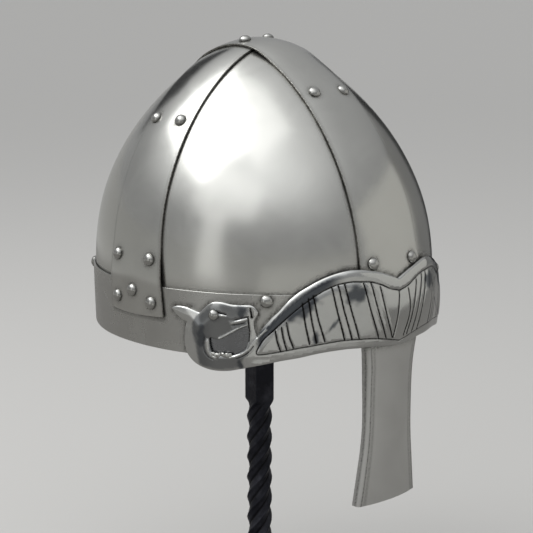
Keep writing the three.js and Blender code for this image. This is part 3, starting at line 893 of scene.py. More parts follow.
@dataclass(frozen=True)
class RivetSeat:
    """One rivet.

    Attributes:
        node: The frame's node that it stands for.
        point: Its place on the dome's face.
        out: The direction out of the dome.
        outer: How far the sheet under its head stands off the dome.
        inner: How far the face under its tail does, below zero inside.
        size: Its head against the usual one.
    """

    node: str
    point: Array
    out: Array
    outer: float
    inner: float
    size: float = 1.0

    @property
    def head(self) -> Array:
        """The place under the middle of its head."""
        return self.point + self.out * self.outer

    @property
    def tail(self) -> Array:
        """The place under the middle of its tail."""
        return self.point + self.out * self.inner


@dataclass(frozen=True)
class RivetPlan:
    """Where the helmet's rivets go, by heights over the rim and distances off a strip's middle.

    Attributes:
        long_top: The long strip's upper pairs: off the middle, and height in front and behind.
        long_upper: The pairs over its feet: off the middle, and height.
        side_top: A side strip's upper pair.
        side_upper: The pair over its foot.
        long_lower: The low pair of the long strip's rear foot.
        side_lower: The low pair of a side strip's foot.
        middle: Height of the one on a strip's middle line, through the band.
        band: The band's own: degrees from the front or the back, and height.
        crown: The crown's two, as plan places and the side that names them.
        eye_size: A beast's eye, against the usual head.
    """

    long_top: Triple = (11.8, 145.0, 147.0)
    long_upper: tuple[float, float] = (16.0, 51.0)
    long_lower: tuple[float, float] = (15.5, 26.8)
    side_top: tuple[float, float] = (11.6, 129.0)
    side_upper: tuple[float, float] = (14.3, 51.6)
    side_lower: tuple[float, float] = (15.0, 26.8)
    middle: float = 32.4
    band: tuple[float, float] = (41.4, 33.0)
    crown: tuple[tuple[float, float, Side], ...] = (
        (-12.5, 2.5, Side.RIGHT), (9.5, 6.5, Side.LEFT))
    eye_size: float = 0.82

    @property
    def on_plates(self) -> float:
        """The outer face of a strip or the band that lies on the plates."""
        return LAYERS.gap + LAYERS.sheet

    @property
    def on_band(self) -> float:
        """The outer face of a strip that lies on the band."""
        return self.on_plates + LAYERS.layer

    def seat(self, node: str, start: Sequence[float], way: Sequence[float], outer: float,
             inner: float = -LAYERS.sheet, size: float = 1.0) -> RivetSeat:
        """Seats a rivet where a line from inside the dome meets its face."""
        point = DOME.cast(np.array(start, float), np.array(way, float))
        return RivetSeat(node, point, DOME.normals(point), outer, inner, size)

    def round_at(self, node: str, turn: float, z: float, outer: float, size: float = 1.0
                 ) -> RivetSeat:
        """Seats a rivet round the helmet, at radians from the front towards +X."""
        way = (math.sin(turn), -math.cos(turn), 0)
        return self.seat(node, (0, DOME.axis_y(z), z), way, outer, size=size)

    def outer_of(self, z: float) -> float:
        """The outer face of a strip that comes down from the band at a height."""
        return float(LAYERS.strip_lift(z)) + LAYERS.sheet

    def long_strip(self) -> list[RivetSeat]:
        """Seats the long strip's rivets and the band's.

        Returns:
            The seats.
        """
        plan = []
        off, front_z, rear_z = self.long_top
        for end in End:
            pairs = [("top", off, front_z if end is End.FRONT else rear_z, self.on_plates),
                     ("upper", *self.long_upper, self.outer_of(self.long_upper[1]))]
            if end is End.REAR:
                pairs.append(("lower", *self.long_lower, self.on_band))
            for side in Side:
                tag = f"rivet_{end.word}_{side.word}"
                for word, x, z, outer in pairs:
                    plan.append(self.seat(f"{tag}_{word}", (side.value * x, DOME.axis_y(z), z),
                                          (0, end.value, 0), outer))
                degrees, z = self.band
                turn = math.radians(degrees if end is End.FRONT else 180 - degrees)
                plan.append(self.round_at(f"{tag}_band", side.value * turn, z, self.on_plates))
        plan.append(self.seat("rivet_rear_middle", (0, 0, self.middle), (0, 1, 0), self.on_band,
                              LAYERS.gap))
        return plan

    def side_strip(self, side: Side) -> list[RivetSeat]:
        """Seats a side strip's rivets.

        Args:
            side: Which one.

        Returns:
            The seats.
        """
        plan, way = [], (side.value, 0, 0)
        for end in End:
            for word, (off, z), outer in (
                    ("top", self.side_top, self.on_plates),
                    ("upper", self.side_upper, self.outer_of(self.side_upper[1])),
                    ("lower", self.side_lower, self.on_band)):
                start = (0, LAYERS.side_middle(z) + end.value * off, z)
                node = f"rivet_{side.word}_{end.word}ward_{word}"
                plan.append(self.seat(node, start, way, outer))
        start = (0, LAYERS.side_middle(self.middle), self.middle)
        plan.append(self.seat(f"rivet_{side.word}_middle", start, way, self.on_band, LAYERS.gap))
        return plan

    def seats(self, eye: tuple[float, float], eye_outer: float) -> list[RivetSeat]:
        """Seats every rivet of the helmet.

        Args:
            eye: The beast's eye on the brow plate's layout.
            eye_outer: How far the brow plate's face is off the dome there.

        Returns:
            The seats.
        """
        plan = self.long_strip()
        turn = float(DOME.angle_along(np.array(eye[0])))
        for side in Side:
            plan += self.side_strip(side)
            plan.append(self.round_at(f"rivet_{side.word}_beast_eye", side.value * turn, eye[1],
                                      eye_outer, self.eye_size))
        for x, y, side in self.crown:
            plan.append(self.seat(f"rivet_crown_{side.word}", (x, y, DOME.cast_height), (0, 0, 1),
                                  self.on_band, LAYERS.gap))
        return plan


def rivet_grime(points: Array, rivets: Sequence[RivetSeat]) -> Array:
    """Paints a ring of shade round each rivet's head.

    Args:
        points: Places on a sheet's outer face.
        rivets: The rivets.

    Returns:
        The darkness at each place, 0 to 1.
    """
    total = np.zeros(points.shape[:-1])
    for rivet in rivets:
        away = np.linalg.norm(points - rivet.head, axis=-1)
        total = np.maximum(total, fades(away, 3.8 * rivet.size, 0.9))
    return total


# ---- sheets


@dataclass
class SheetMetal:
    """What every sheet of the helmet shares.

    Attributes:
        rivets: The rivets, for the painted shade round them.
        brow_edge: The brow plate's outline on its layout, for the painted shadow along it.
        edge: How much of an edge is filed round, mm.
        unevenness: How far beating leaves a sheet from true, mm.
    """

    rivets: list[RivetSeat]
    brow_edge: Array
    edge: float = 0.3
    unevenness: float = 0.13

    def seats(self, dome_points: Array, lift: Array | float, faces: Array, seed: int,
              soil_and_shade: Array | float = 0.0) -> Patch:
        """Lifts dome places to a sheet's back and marks where shade is painted on it.

        Args:
            dome_points: The places.
            lift: How far the back is off the dome.
            faces: The sheet's faces.
            seed: Which pattern of unevenness.
            soil_and_shade: The painted shade along the edges over or on it.

        Returns:
            The sheet's seats.
        """
        flat = dome_points.reshape(-1, 3)
        normals = DOME.normals(flat)
        lifts = np.broadcast_to(np.asarray(lift, float), dome_points.shape[:-1]).reshape(-1)
        stray = beaten(flat, self.unevenness, seed)
        points = flat + normals * (lifts + stray)[:, None]
        # Painted shade along edges that lie over or on the sheet, round rivets and beside the brow
        # plate.
        edge_shade = np.broadcast_to(np.asarray(soil_and_shade, float), dome_points.shape[:-1]).reshape(-1)
        grime = np.maximum(edge_shade, rivet_grime(points + normals * LAYERS.sheet, self.rivets))
        # Painted shadow along the brow plate's edge.
        grime = np.maximum(grime, beside(DOME.laid_out(flat), self.brow_edge))
        return Patch(points, normals, faces, {"grime": grime})

    def finish(self, name: str, patch: Patch, steel: Steel, slot: Slot) -> Object:
        """Builds a sheet, dresses it and stands it in for its node.

        Args:
            name: The piece's name: its node's, and _sheet.
            patch: The sheet's seats.
            steel: Its finish.
            slot: Its material slot.

        Returns:
            The piece.
        """
        obj = shell(name, patch, LAYERS.sheet, self.edge)
        obj.data.materials.append(steel.material())
        return settle(obj, slot, [name.removesuffix("_sheet")])


def settle(obj: Object, slot: Slot, nodes: Sequence[str] = ()) -> Object:
    """Fixes a piece to the frame and reports it with its slot.

    Args:
        obj: The piece.
        slot: Its material slot.
        nodes: The nodes that it stands in for.

    Returns:
        The same piece.
    """
    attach(obj, "root")
    if nodes:
        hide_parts(*nodes)
    triangles = sum(len(face.vertices) - 2 for face in obj.data.polygons)
    LOG.info("%s: %d triangles, %s", obj.name, triangles, slot.value)
    return obj


def beside(places: Array, edge: Array) -> Array:
    """Paints the shadow that the brow plate casts along its edge.

    Args:
        places: Places on its layout.
        edge: Its outline there.

    Returns:
        The darkness at each place, 0 to 1.
    """
    near = (np.abs(places[:, 0]) < 150) & (places[:, 1] < 55)
    dark = np.zeros(len(places))
    dark[near] = fades(distance_to_line(places[near], edge), 0.9, 0.7)
    return dark


def strip_soil(points: Array, near_band: bool) -> Array:
    """Paints shade on what lies under the strips, along their edges and above the band.

    Args:
        points: Places on the dome.
        near_band: Whether the band lies on it too.

    Returns:
        The darkness at each place, 0 to 1.
    """
    x, y, z = np.moveaxis(points, -1, 0)
    below = LAYERS.strip_foot - z
    by_long = np.maximum(np.abs(x) - LAYERS.long_half_width(z), below)
    by_side = np.maximum(np.abs(y - LAYERS.side_middle(z)) - LAYERS.side_half_width(z), below)
    away = np.minimum(by_long, by_side)
    if near_band:
        away = np.minimum(away, z - LAYERS.band_top)
    return fades(away, 0.2, 0.75)


@dataclass
class InfillPlates(SheetMetal):
    """The four plates that fill the dome's quarters, under the strips and the band.

    Attributes:
        lap: How far a plate runs under a strip, mm.
        foot: The height that its lowest row is cast at.
        top: The height of its last row.
        rows: Spans from foot to top.
        columns: Spans from strip to strip.
    """

    lap: float = 15.0
    foot: float = 12.0
    top: float = 171.3
    rows: int = 88
    columns: int = 64

    def patch(self, side: Side, end: End) -> Patch:
        """Lays out one plate.

        Args:
            side: The side it is on.
            end: The end it is at.

        Returns:
            Its seats.
        """
        low = math.atan2(self.foot - DOME.cast_height, DOME.half_width)
        turn = tight_spread(low, math.radians(81), self.rows, 0.003)
        way = stacked(side.value * np.cos(turn), 0, np.sin(turn))
        heights = DOME.cast(np.array([0, 0, DOME.cast_height]), way)[:, 2]
        heights[-1] = self.top
        x = side.value * (LAYERS.long_half_width(heights) - self.lap)
        y = LAYERS.side_middle(heights) + end.value * (LAYERS.side_half_width(heights) - self.lap)
        none = 0 * heights
        by_long = DOME.cast(stacked(x, DOME.axis_y(heights), heights),
                            np.array([0, end.value, 0]))
        by_side = DOME.cast(stacked(none, y, heights), np.array([side.value, 0, 0]))
        share = tight_spread(0, 1, self.columns, 0.003)[None, :]
        first, last = DOME.angle_of(by_long)[:, None], DOME.angle_of(by_side)[:, None]
        points = DOME.around(first + (last - first) * share, heights[:, None])
        seed = 11 + 2 * (side is Side.LEFT) + (end is End.REAR)
        faces = grid_faces(*points.shape[:2])
        return self.seats(points, -LAYERS.sheet, faces, seed, strip_soil(points, near_band=True))

    def build(self) -> None:
        """Builds the four plates."""
        for end in End:
            for side in Side:
                name = f"infill_plate_{end.word}_{side.word}_sheet"
                self.finish(name, self.patch(side, end), PLATE_STEEL, Slot.PLATE)


@dataclass
class BrowBand(SheetMetal):
    """The band round the rim, outside the plates and cut away over the eyes.

    Attributes:
        arch_rise: How high the cut over the eyes is.
        arch_reach: How far it runs each way from the front.
        mouth: Middle of a beast's mouth, through which it shows, as (distance along, height).
        film: How strong the painted shade is there.
        rows: Spans up the band.
        columns: Spans round it.
    """

    arch_rise: float = 6.2
    arch_reach: float = 64.0
    mouth: tuple[float, float] = (105.0, 9.0)
    film: float = 0.8
    rows: int = 12
    columns: int = 420

    def build(self) -> None:
        """Builds the band."""
        turn = np.linspace(-math.pi, math.pi, self.columns, endpoint=False)[None, :]
        mean = (DOME.half_length + DOME.half_width) / 2
        foot = self.arch_rise * (1 - np.minimum(1, np.abs(turn * mean) / self.arch_reach) ** 4)
        share = tight_spread(0, 1, self.rows, 0.02)[:, None]
        points = DOME.around(turn, foot + (LAYERS.band_top - foot) * share)
        faces = grid_faces(*points.shape[:2], joined=True)
        mouth = DOME.around(DOME.angle_along(np.array(self.mouth[0])), np.array(self.mouth[1]))
        either_side = np.concatenate([np.abs(points[..., :1]), points[..., 1:]], axis=-1)
        behind = np.linalg.norm(either_side - mouth, axis=-1)
        patch = self.seats(points, LAYERS.gap, faces, 31, strip_soil(points, near_band=False))
        # Painted shade on the band where it shows through a beast's mouth.
        patch.marks["tarnish"] = self.film * (1 - smooth(behind, 13, 19)).reshape(-1)
        self.finish("brow_band_sheet", patch, BAND_STEEL, Slot.BAND)


@dataclass
class Strips(SheetMetal):
    """The long strip over the crown and the two side strips under it.

    Attributes:
        rows: Spans along the long strip; a side strip has half as many.
        columns: Spans across a strip.
        side_end: A side strip stops this far from the middle, mm.
        camber: How far a strip's middle stands proud of its edges, mm.
    """

    rows: int = 240
    columns: int = 18
    side_end: float = 6.0
    camber: float = 0.25

    def build_long(self) -> None:
        """Builds the strip from the front of the band over the crown to the back."""
        foot = math.atan2(LAYERS.strip_foot - DOME.cast_height, DOME.half_length)
        turn = tight_spread(foot, math.pi - foot, self.rows, 0.002)
        way = stacked(0, -np.cos(turn), np.sin(turn))
        middle = DOME.cast(np.array([0, 0, DOME.cast_height]), way)
        across = tight_spread(-1, 1, self.columns, 0.01)[None, :]
        x = across * LAYERS.long_half_width(middle[:, 2])[:, None]
        start = stacked(x, 0, DOME.cast_height)
        points = DOME.cast(start, way[:, None, :])
        lift = LAYERS.long_lift(points) + self.camber * (1 - across**2)
        # Painted shade: a dark line along both edges of the strip.
        soil_and_shade = np.exp(-24 * (1 - np.abs(across)) / 0.5) + 0 * x
        patch = self.seats(points, lift, grid_faces(*points.shape[:2]), 43, soil_and_shade)
        self.finish("long_strip_sheet", patch, STRIP_STEEL, Slot.STRIP)

    def build_side(self, side: Side) -> None:
        """Builds one side strip, from the band to just short of the crown.

        Args:
            side: Which one.
        """
        foot = math.atan2(LAYERS.strip_foot - DOME.cast_height, DOME.half_width)
        end = math.atan2(DOME.crown - DOME.cast_height, self.side_end)
        turn = tight_spread(foot, end, self.rows // 2, 0.004)
        way = stacked(side.value * np.cos(turn), 0, np.sin(turn))
        height = DOME.cast(np.array([0, 0, DOME.cast_height]), way)[:, 2][:, None]
        across = tight_spread(-1, 1, self.columns, 0.012)[None, :]
        y = LAYERS.side_middle(height) + across * LAYERS.side_half_width(height)
        start = stacked(0, y, DOME.cast_height)
        points = DOME.cast(start, way[:, None, :])
        under = 1 - smooth(points[..., 2], 140, 160)
        lift = LAYERS.strip_lift(points[..., 2]) + self.camber * (1 - across**2) * under
        from_long = np.abs(points[..., 0]) - LAYERS.long_half_width(points[..., 2])
        # Painted shade under the long strip's edge near the crown, and a dark line along both
        # edges.
        soil_and_shade = 0.9 * fades(from_long, 0, 1.0) * smooth(points[..., 2], 120, 150)
        soil_and_shade = np.maximum(soil_and_shade, np.exp(-23 * (1 - np.abs(across)) / 0.5))
        patch = self.seats(points, lift, grid_faces(*points.shape[:2]), 47 + side.value, soil_and_shade)
        self.finish(f"side_strip_{side.word}_sheet", patch, STRIP_STEEL, Slot.STRIP)

    def build(self) -> None:
        """Builds all three."""
        self.build_long()
        for side in Side:
            self.build_side(side)


# ---- brow plate


@dataclass(frozen=True)
class Cut:
    """A line worked into the brow plate.

    Attributes:
        line: Its places on the layout.
        width: Half its width, mm.
        depth: How deep it goes, mm; below zero is a raised ridge.
        black: How black its bottom is, 0 to 1.
    """

    line: Array
    width: float
    depth: float
    black: float


@dataclass
class BrowPlate:
    """The raised eyebrows with their engraved panels, and a beast's head at each end.

    Places are (distance from the front along the band, height), laid out flat, for one side.

    Attributes:
        lower_edge: From the front to the nape of the beast's neck.
        ear_lower: The ear's lower edge.
        ear_upper: The ear's upper edge.
        snout: From the ear over the brow and down the snout.
        top_edge: From the snout to the notch over the nose.
        mouth: The pierced mouth, from its upper corner round.
        panel_top: The engraved border of the panel, top.
        panel_low: And its bottom.
        strokes: The groups of engraved strokes.
        film_back: (height, distance along) of the back edge of the painted dark reflection on a
            beast's face.
        film_front: The same for its front edge.
        blots: Painted dark reflections, as (distance along, height, half length, half height,
            lean).
        eye: The eye.
        spacing: Distance between free points of the mesh, mm.
        bulge: How far the eyebrow swells out, as a share of its height.
        beast_swell: How far a beast's head swells out, mm.
    """

    lower_edge: Line = (
        (0, 1.9), (6.3, 2), (14, 2.9), (21.2, 3.6), (28, 3.8), (34.5, 4), (40.8, 3.7),
        (52.7, 2.5), (64.3, 0.4), (75.6, -1.4), (87, -3.9), (98.4, -6.4), (103.7, -7.6),
        (109, -8.2), (114.5, -8.2), (119.4, -7.4), (123.6, -6), (126.9, -4.1), (129.6, -1.6),
        (131.4, 1.2), (132.6, 5), (132.9, 9.3), (132.2, 14.4), (131, 19))
    ear_lower: Line = ((131, 19), (132.8, 19.4), (136.5, 21.3), (139.5, 23.8), (141.3, 26))
    ear_upper: Line = (
        (141.3, 26), (138.6, 27.2), (134.8, 27.6), (130.4, 27.2), (126.1, 26), (122.6, 24.9))
    snout: Line = (
        (122.6, 24.9), (121.2, 26.1), (119.4, 27.8), (116.3, 30.4), (112.9, 31.8), (107.6, 31.8),
        (102.4, 30.9), (97.3, 30.8), (92.3, 30.9), (89.8, 30.2), (87.9, 28.1), (87.4, 25.8),
        (88.7, 23.3), (89.8, 20.8), (89.6, 17.6), (88.1, 12.6))
    top_edge: Line = (
        (88.1, 12.6), (85.5, 17.2), (80.9, 22.5), (75.2, 28.2), (69.5, 33.9), (63.8, 38.3),
        (58, 41.5), (52.2, 44.4), (46.1, 46.6), (40, 48.2), (33.7, 49.1), (27.2, 48.9),
        (20.4, 47.9), (13.3, 46.2), (5.7, 43.6), (0, 41.4))
    mouth: Line = (
        (93.5, 18.8), (96.3, 17.8), (100.1, 15.8), (104, 13.5), (107.4, 11.5), (110.4, 10.3),
        (113.4, 10.6), (115.2, 11.3), (116.2, 10.6), (116.1, 7.5), (115.4, 4.3), (114, 1.9),
        (111.4, 1), (107.5, 1.1), (103, 1.6), (99.7, 2.6), (96.5, 4.5), (94.3, 7.2), (93.4, 10.6),
        (92.9, 14.8), (93.5, 18.8))
    panel_top: Line = (
        (88.5, 4.4), (86.7, 8.2), (83.9, 12), (78.2, 17.2), (72.5, 22.6), (66.8, 27.6), (61, 32),
        (55.3, 35.8), (50.6, 38.4), (46.4, 40.2), (41.5, 41.8), (34, 42.8), (27.5, 42.4),
        (20.7, 41.6), (13.7, 39.3), (7.6, 36.5), (0, 34.5))
    panel_low: Line = (
        (0, 4.6), (10.2, 7.1), (21.2, 8.9), (31.3, 9.5), (40.7, 9.5), (52.7, 8), (64.2, 6.5),
        (72.7, 4.9), (81.2, 3.4), (86.6, 2.6), (88.4, 2.9), (88.5, 4.4))
    strokes: tuple[Line, ...] = (
        ((77.6, 16.6), (76.8, 11), (75, 5)), ((74.2, 18.8), (73.3, 12.6), (71.6, 5.9)),
        ((71.4, 21.1), (70, 13.6), (67.6, 6.6)),
        ((62.2, 31.8), (60.9, 20.4), (58.5, 8.7)), ((58.7, 34.5), (57.2, 22), (54.5, 9)),
        ((55.9, 36.1), (53.6, 23.2), (49.7, 9.9)),
        ((45.2, 40.6), (42.3, 25.6), (38.2, 10.2)), ((41.5, 41.5), (38.5, 26.2), (33.8, 10)),
        ((37.8, 41.8), (34.4, 26.4), (29.3, 9.9)),
        ((26.2, 41.4), (22.2, 25.3), (16.2, 8.8)), ((21.4, 41.5), (17.2, 25), (10.9, 8.3)),
        ((15.2, 38.5), (11.6, 23.2), (6.2, 7.9)))
    film_back: Line = (
        (-8, 122.5), (-1, 123.3), (2.8, 123.9), (8, 124.8), (11.7, 126.1), (16.9, 126.7),
        (21.6, 125.1), (24.7, 122.6))
    film_front: Line = (
        (-8, 99.6), (-6.3, 99.4), (-2.9, 96.9), (0.6, 95.8), (2.5, 93.6), (6, 92.9), (30, 92.9))
    blots: tuple[tuple[float, ...], ...] = (
        (98.4, -2.6, 1.9, 4.2, 0.35), (97, 27.2, 3.4, 3.6, 0), (62.5, 29.5, 8, 8, -0.8),
        (31, 35.6, 8, 5, -0.1), (55, 12, 2, 4.6, 0.1), (45.5, 18.5, 1.3, 4.6, -0.85),
        (121, 12, 3.4, 9, -0.2))
    eye: tuple[float, float] = (113.0, 24.6)
    spacing: float = 1.3
    bulge: float = 0.045
    beast_swell: float = 1.1

    def half_loop(self) -> Array:
        """The outline of one side, from the middle's bottom round to its top."""
        runs = [self.lower_edge, self.ear_lower, self.ear_upper, self.snout, self.top_edge]
        return np.vstack([rounded_line(run, 0.9)[:-1] for run in runs] + [[self.top_edge[-1]]])

    def outline(self) -> Array:
        """The outline of the whole plate."""
        half = self.half_loop()
        return np.vstack([half, (half * [-1, 1])[-2:0:-1]])

    def cut(self, places: Line, width: float, depth: float, black: float = 0.0) -> Cut:
        """One line worked into a beast's head."""
        return Cut(rounded_line(places, 0.6), width, depth, black)

    def cuts(self) -> list[Cut]:
        """Lists everything worked into the plate, on both sides.

        Returns:
            The cuts.
        """
        one_side = [Cut(rounded_line(line, 0.7), 0.68, 0.36, 1.0) for line in self.strokes]
        one_side += [
            Cut(rounded_line(self.panel_top, 0.7), 0.55, 0.28, 0.8),
            Cut(rounded_line(self.panel_low, 0.7), 0.5, 0.26, 0.8),
            self.cut(((111.6, 26), (108.6, 25.7), (106.1, 25.2)), 0.6, 0.5, 1.0),
            self.cut(((110.4, 24.4), (108.4, 24.4), (106.2, 24.5)), 0.6, -0.3),
            self.cut(((91.9, 29), (91.4, 27), (91.1, 24.8)), 0.75, 0.9, 1.0),
            self.cut(((93.1, 24.2), (92.8, 21.2), (92.6, 18.4), (92.3, 15), (92.7, 10.2)),
                     0.5, 0.32, 0.9),
            self.cut(((102.2, 20.6), (99.4, 21.3), (96.2, 22.2), (93.7, 23)), 0.75, -0.45),
            self.cut(((100.4, 22.4), (96.8, 23.4), (93.8, 24.2)), 0.55, 0.32, 0.75),
            self.cut(((102, 19.4), (98.4, 20), (95, 20.9)), 0.55, 0.25, 0.5),
            self.cut(((117.2, 9.2), (117.5, 7.2), (117, 3.9), (115.2, 1.1), (112.6, -0.2)),
                     1.1, -0.75),
            self.cut(((119.1, 10.4), (119.7, 7), (119.2, 3.4), (117.2, 0.2), (114, -1.4)),
                     0.6, 0.25, 0.35),
            self.cut(((93.6, 19.6), (96.3, 18.6), (100.1, 16.7), (104, 14.4), (107.4, 12.4),
                      (110.2, 11)), 0.5, -0.3),
            self.cut(((104, 0.3), (99.4, 1.7), (95.4, 3.7), (92.1, 6.5), (90, 9.6), (88, 12),
                      (85.5, 14.7), (83.2, 16.9)), 0.5, -0.3),
            self.cut(((99.8, 0.1), (96.5, 1.5), (92.7, 4.3), (90.1, 7.6)), 0.4, 0.2, 0.7)]
        middle = [((-0.6, 34.3), (-2.4, 21.4), (-5.4, 7.8)), ((7.1, 34.9), (8, 21.7), (3.2, 7.5))]
        flipped = [Cut(cut.line * [-1, 1], cut.width, cut.depth, cut.black) for cut in one_side]
        return one_side + flipped + [
            Cut(rounded_line(line, 0.7), 0.62, 0.32, 1.0) for line in middle]

    def lift(self, distance: Array) -> Array:
        """Sets the plate's back off the dome: over the nasal in front, on the band beside.

        Args:
            distance: Distances from the front, along the plate.

        Returns:
            How far off it is there.
        """
        over_nasal = 2 * LAYERS.gap + LAYERS.layer + Nasal.sheet
        over_band = LAYERS.gap + LAYERS.layer
        return over_nasal + (over_band - over_nasal) * smooth(np.abs(distance), 28, 50)

    def swell(self, places: Array, outline: Array, cuts: Sequence[Cut]) -> tuple[Array, Array]:
        """The relief beaten and cut into the plate.

        Args:
            places: Points of the layout.
            outline: The plate's outline.
            cuts: What is worked into it.

        Returns:
            The height of the relief, and how black each place is.
        """
        s, z = np.abs(places[:, 0]), places[:, 1]
        folded = stacked(s, z)
        top = rounded_line(self.top_edge, 1.2)
        low = rounded_line(self.lower_edge, 1.2)
        by_s = np.argsort(top[:, 0])
        top_z = np.interp(s, top[by_s, 0], top[by_s, 1])
        low_z = np.interp(s, low[:60, 0], low[:60, 1])
        tall = np.maximum(top_z - low_z, 1.0)
        rise = np.clip((z - low_z) / tall, 0, 1)
        eyebrow = self.bulge * tall * np.sin(math.pi * rise)
        rim = distance_to_line(places, closed(outline))
        head = self.beast_swell * smooth(rim, -1.5, 8)
        total = eyebrow + (head - eyebrow) * smooth(s, 85, 96)

        border = rounded_line(self.panel_top, 1.2)
        middle = [[-1, self.panel_top[-1][1]], [-1, self.panel_low[0][1]]]
        inside = within(folded, np.vstack([border, middle, rounded_line(self.panel_low, 1.2)]))
        from_border, from_top = distance_to_line(folded, border), distance_to_line(folded, top)
        roll = from_top / np.maximum(from_top + from_border, 1e-6)
        rolled = 0.42 * np.sin(math.pi * np.clip(roll, 0, 1)) * ~inside * (from_top < 9)
        total += rolled * smooth(z - low_z, 3, 9) * (1 - smooth(s, 76, 88))
        total += 0.35 * inside * smooth(from_border, 0, 3)

        total -= 0.5 * np.maximum(0, 1 - np.minimum(rim, self.from_mouths(folded)) / 1.1) ** 2
        black = np.zeros(len(places))
        for cut in cuts:
            near = distance_to_line(places, cut.line) / cut.width
            total -= cut.depth * np.maximum(0, 1 - near**2) ** (1 if cut.depth > 0 else 1.5)
            black = np.maximum(black, 2.8 * cut.black * np.maximum(0, 1 - near))
        return total, black

    def from_mouths(self, folded: Array) -> Array:
        """The distance of places on one side from that side's mouth."""
        return distance_to_line(folded, rounded_line(self.mouth, 0.9))

    def tarnish(self, places: Array, outline: Array, cuts: Sequence[Cut]) -> Array:
        """Where a blue-grey darkens the polish: painted dark reflections on the beasts' faces and
        in spots, and a darker tone on the outer eyebrows.

        Args:
            places: Points of the layout.
            outline: The plate's outline.
            cuts: What is worked into it; the raised lines are left clear.

        Returns:
            The blue-grey's strength, 0 to 1.
        """
        s, z = np.abs(places[:, 0]), places[:, 1]
        rim = distance_to_line(places, closed(outline))
        folded = stacked(s, z)
        # Painted dark reflection on a beast's face, between its front and back edges.
        front, back = read_table(self.film_front, z), read_table(self.film_back, z)
        face = smooth(s, front - 0.4, front + 0.5) * (1 - smooth(s, back - 0.6, back + 0.9))
        face *= smooth(rim, 0.5, 1.6) * (0.54 + 0.14 * smooth(s, 112, 121))
        border = distance_to_line(folded, rounded_line(self.panel_top, 1.2) + [0, 2.9])
        # A darker blue-grey on the outer eyebrows.
        eyebrow = smooth(s, 36, 48) * (1 - smooth(border, 1.7, 2.9)) * smooth(z, 4, 8) * 0.9
        film = np.maximum(face, eyebrow * (1 - smooth(s, 86, 90)))
        stray = 0.14 * np.sin(0.9 * s + 0.5 * z) + 0.12 * np.sin(1.1 * z - 0.5 * s + 1.3)
        # Painted dark reflections in spots.
        for at_s, at_z, half_s, half_z, lean in self.blots:
            away = np.hypot((s - at_s - lean * (z - at_z)) / half_s, (z - at_z) / half_z)
            film = np.maximum(film, 0.85 * (1 - smooth(away + stray, 0.55, 1.25)))
        for cut in cuts:
            if cut.depth < 0:
                film *= smooth(distance_to_line(places, cut.line) / cut.width, 0.5, 1.3)
        return film

    def free_places(self, loops: Sequence[Array], cuts: Sequence[Cut]) -> Array:
        """Scatters the mesh's free points: rows along every cut and loop, and a grid between.

        Args:
            loops: The outline and the mouths.
            cuts: What is worked into the plate.

        Returns:
            The points that are on the plate and clear of its edges.
        """
        free = []
        for cut in cuts:
            out = leftward(np.gradient(cut.line, axis=0))
            free += [cut.line + out * cut.width * share for share in (-1.5, -0.8, 0, 0.8, 1.5)]
        for loop in loops:
            out = leftward(np.roll(loop, -1, axis=0) - np.roll(loop, 1, axis=0))
            for off in (-1.0, -0.45, 0.45, 1.0):
                row = loop + out * off
                free.append(row[distance_to_line(row, closed(loop)) > 0.9 * abs(off)])
        step = self.spacing
        along = np.arange(-144, 144, step)
        grid = np.vstack([stacked(along + (i % 2) * step / 2, np.full(len(along), z))
                          for i, z in enumerate(np.arange(-10, 51, step * math.sqrt(3) / 2))])
        clear = np.full(len(grid), True)
        for cut in cuts:
            clear &= distance_to_line(grid, cut.line) > cut.width * 1.5 + 0.5
        for loop in loops:
            clear &= distance_to_line(grid, closed(loop)) > 1.5
        loose = np.vstack([*free, grid[clear]])
        keep = self.on_plate(loose, loops)
        for loop in loops:
            keep &= distance_to_line(loose, closed(loop)) > 0.38
        return loose[keep]

    def on_plate(self, places: Array, loops: Sequence[Array]) -> Array:
        """Tells which places of the layout are on the plate.

        Args:
            places: The places.
            loops: The outline, then the mouths.

        Returns:
            A truth for each.
        """
        outline, *mouths = loops
        good = within(places, outline)
        for mouth in mouths:
            good &= ~within(places, mouth)
        return good

    def layout(self) -> tuple[Array, Array, Array, list[Cut]]:
        """Fills the flat layout with triangles.

        Returns:
            The places, the triangles, the outline and the cuts.
        """
        outline, cuts = self.outline(), self.cuts()
        mouth = rounded_line(self.mouth, 0.7)[:-1]
        loops = [outline, mouth, mouth * [-1, 1]]
        edges = []
        for loop in loops:
            base = len(edges)
            edges += [(base + i, base + (i + 1) % len(loop)) for i in range(len(loop))]
        places = np.vstack([*loops, self.free_places(loops, cuts)])
        made = delaunay_2d_cdt([Vector(p) for p in places], edges, [], 0, 1e-4)
        verts = np.array([tuple(v) for v in made[0]])
        faces = np.array([list(f) for f in made[2]])
        faces = faces[self.on_plate(verts[faces].mean(axis=1), loops)]
        used = np.unique(faces)
        renumber = np.full(len(verts), -1)
        renumber[used] = np.arange(len(used))
        return verts[used], renumber[faces], outline, cuts

    def outer_at(self, place: tuple[float, float]) -> float:
        """Measures how far the plate's face is off the dome.

        Args:
            place: A place of the layout.

        Returns:
            The distance there.
        """
        at = np.array([place])
        relief, _ = self.swell(at, self.outline(), [])
        return float(self.lift(at[:, 0])[0] + relief[0]) + LAYERS.sheet

    def build(self, rivets: Sequence[RivetSeat]) -> None:
        """Builds the plate.

        Args:
            rivets: The rivets, for the painted shade round the eyes.
        """
        places, faces, outline, cuts = self.layout()
        relief, black = self.swell(places, outline, cuts)
        points = DOME.around(DOME.angle_along(places[:, 0]), places[:, 1])
        normals = DOME.normals(points)
        stray = beaten(points, 0.12, 61, 16, 46)
        points = points + normals * (self.lift(places[:, 0]) + relief + stray)[:, None]
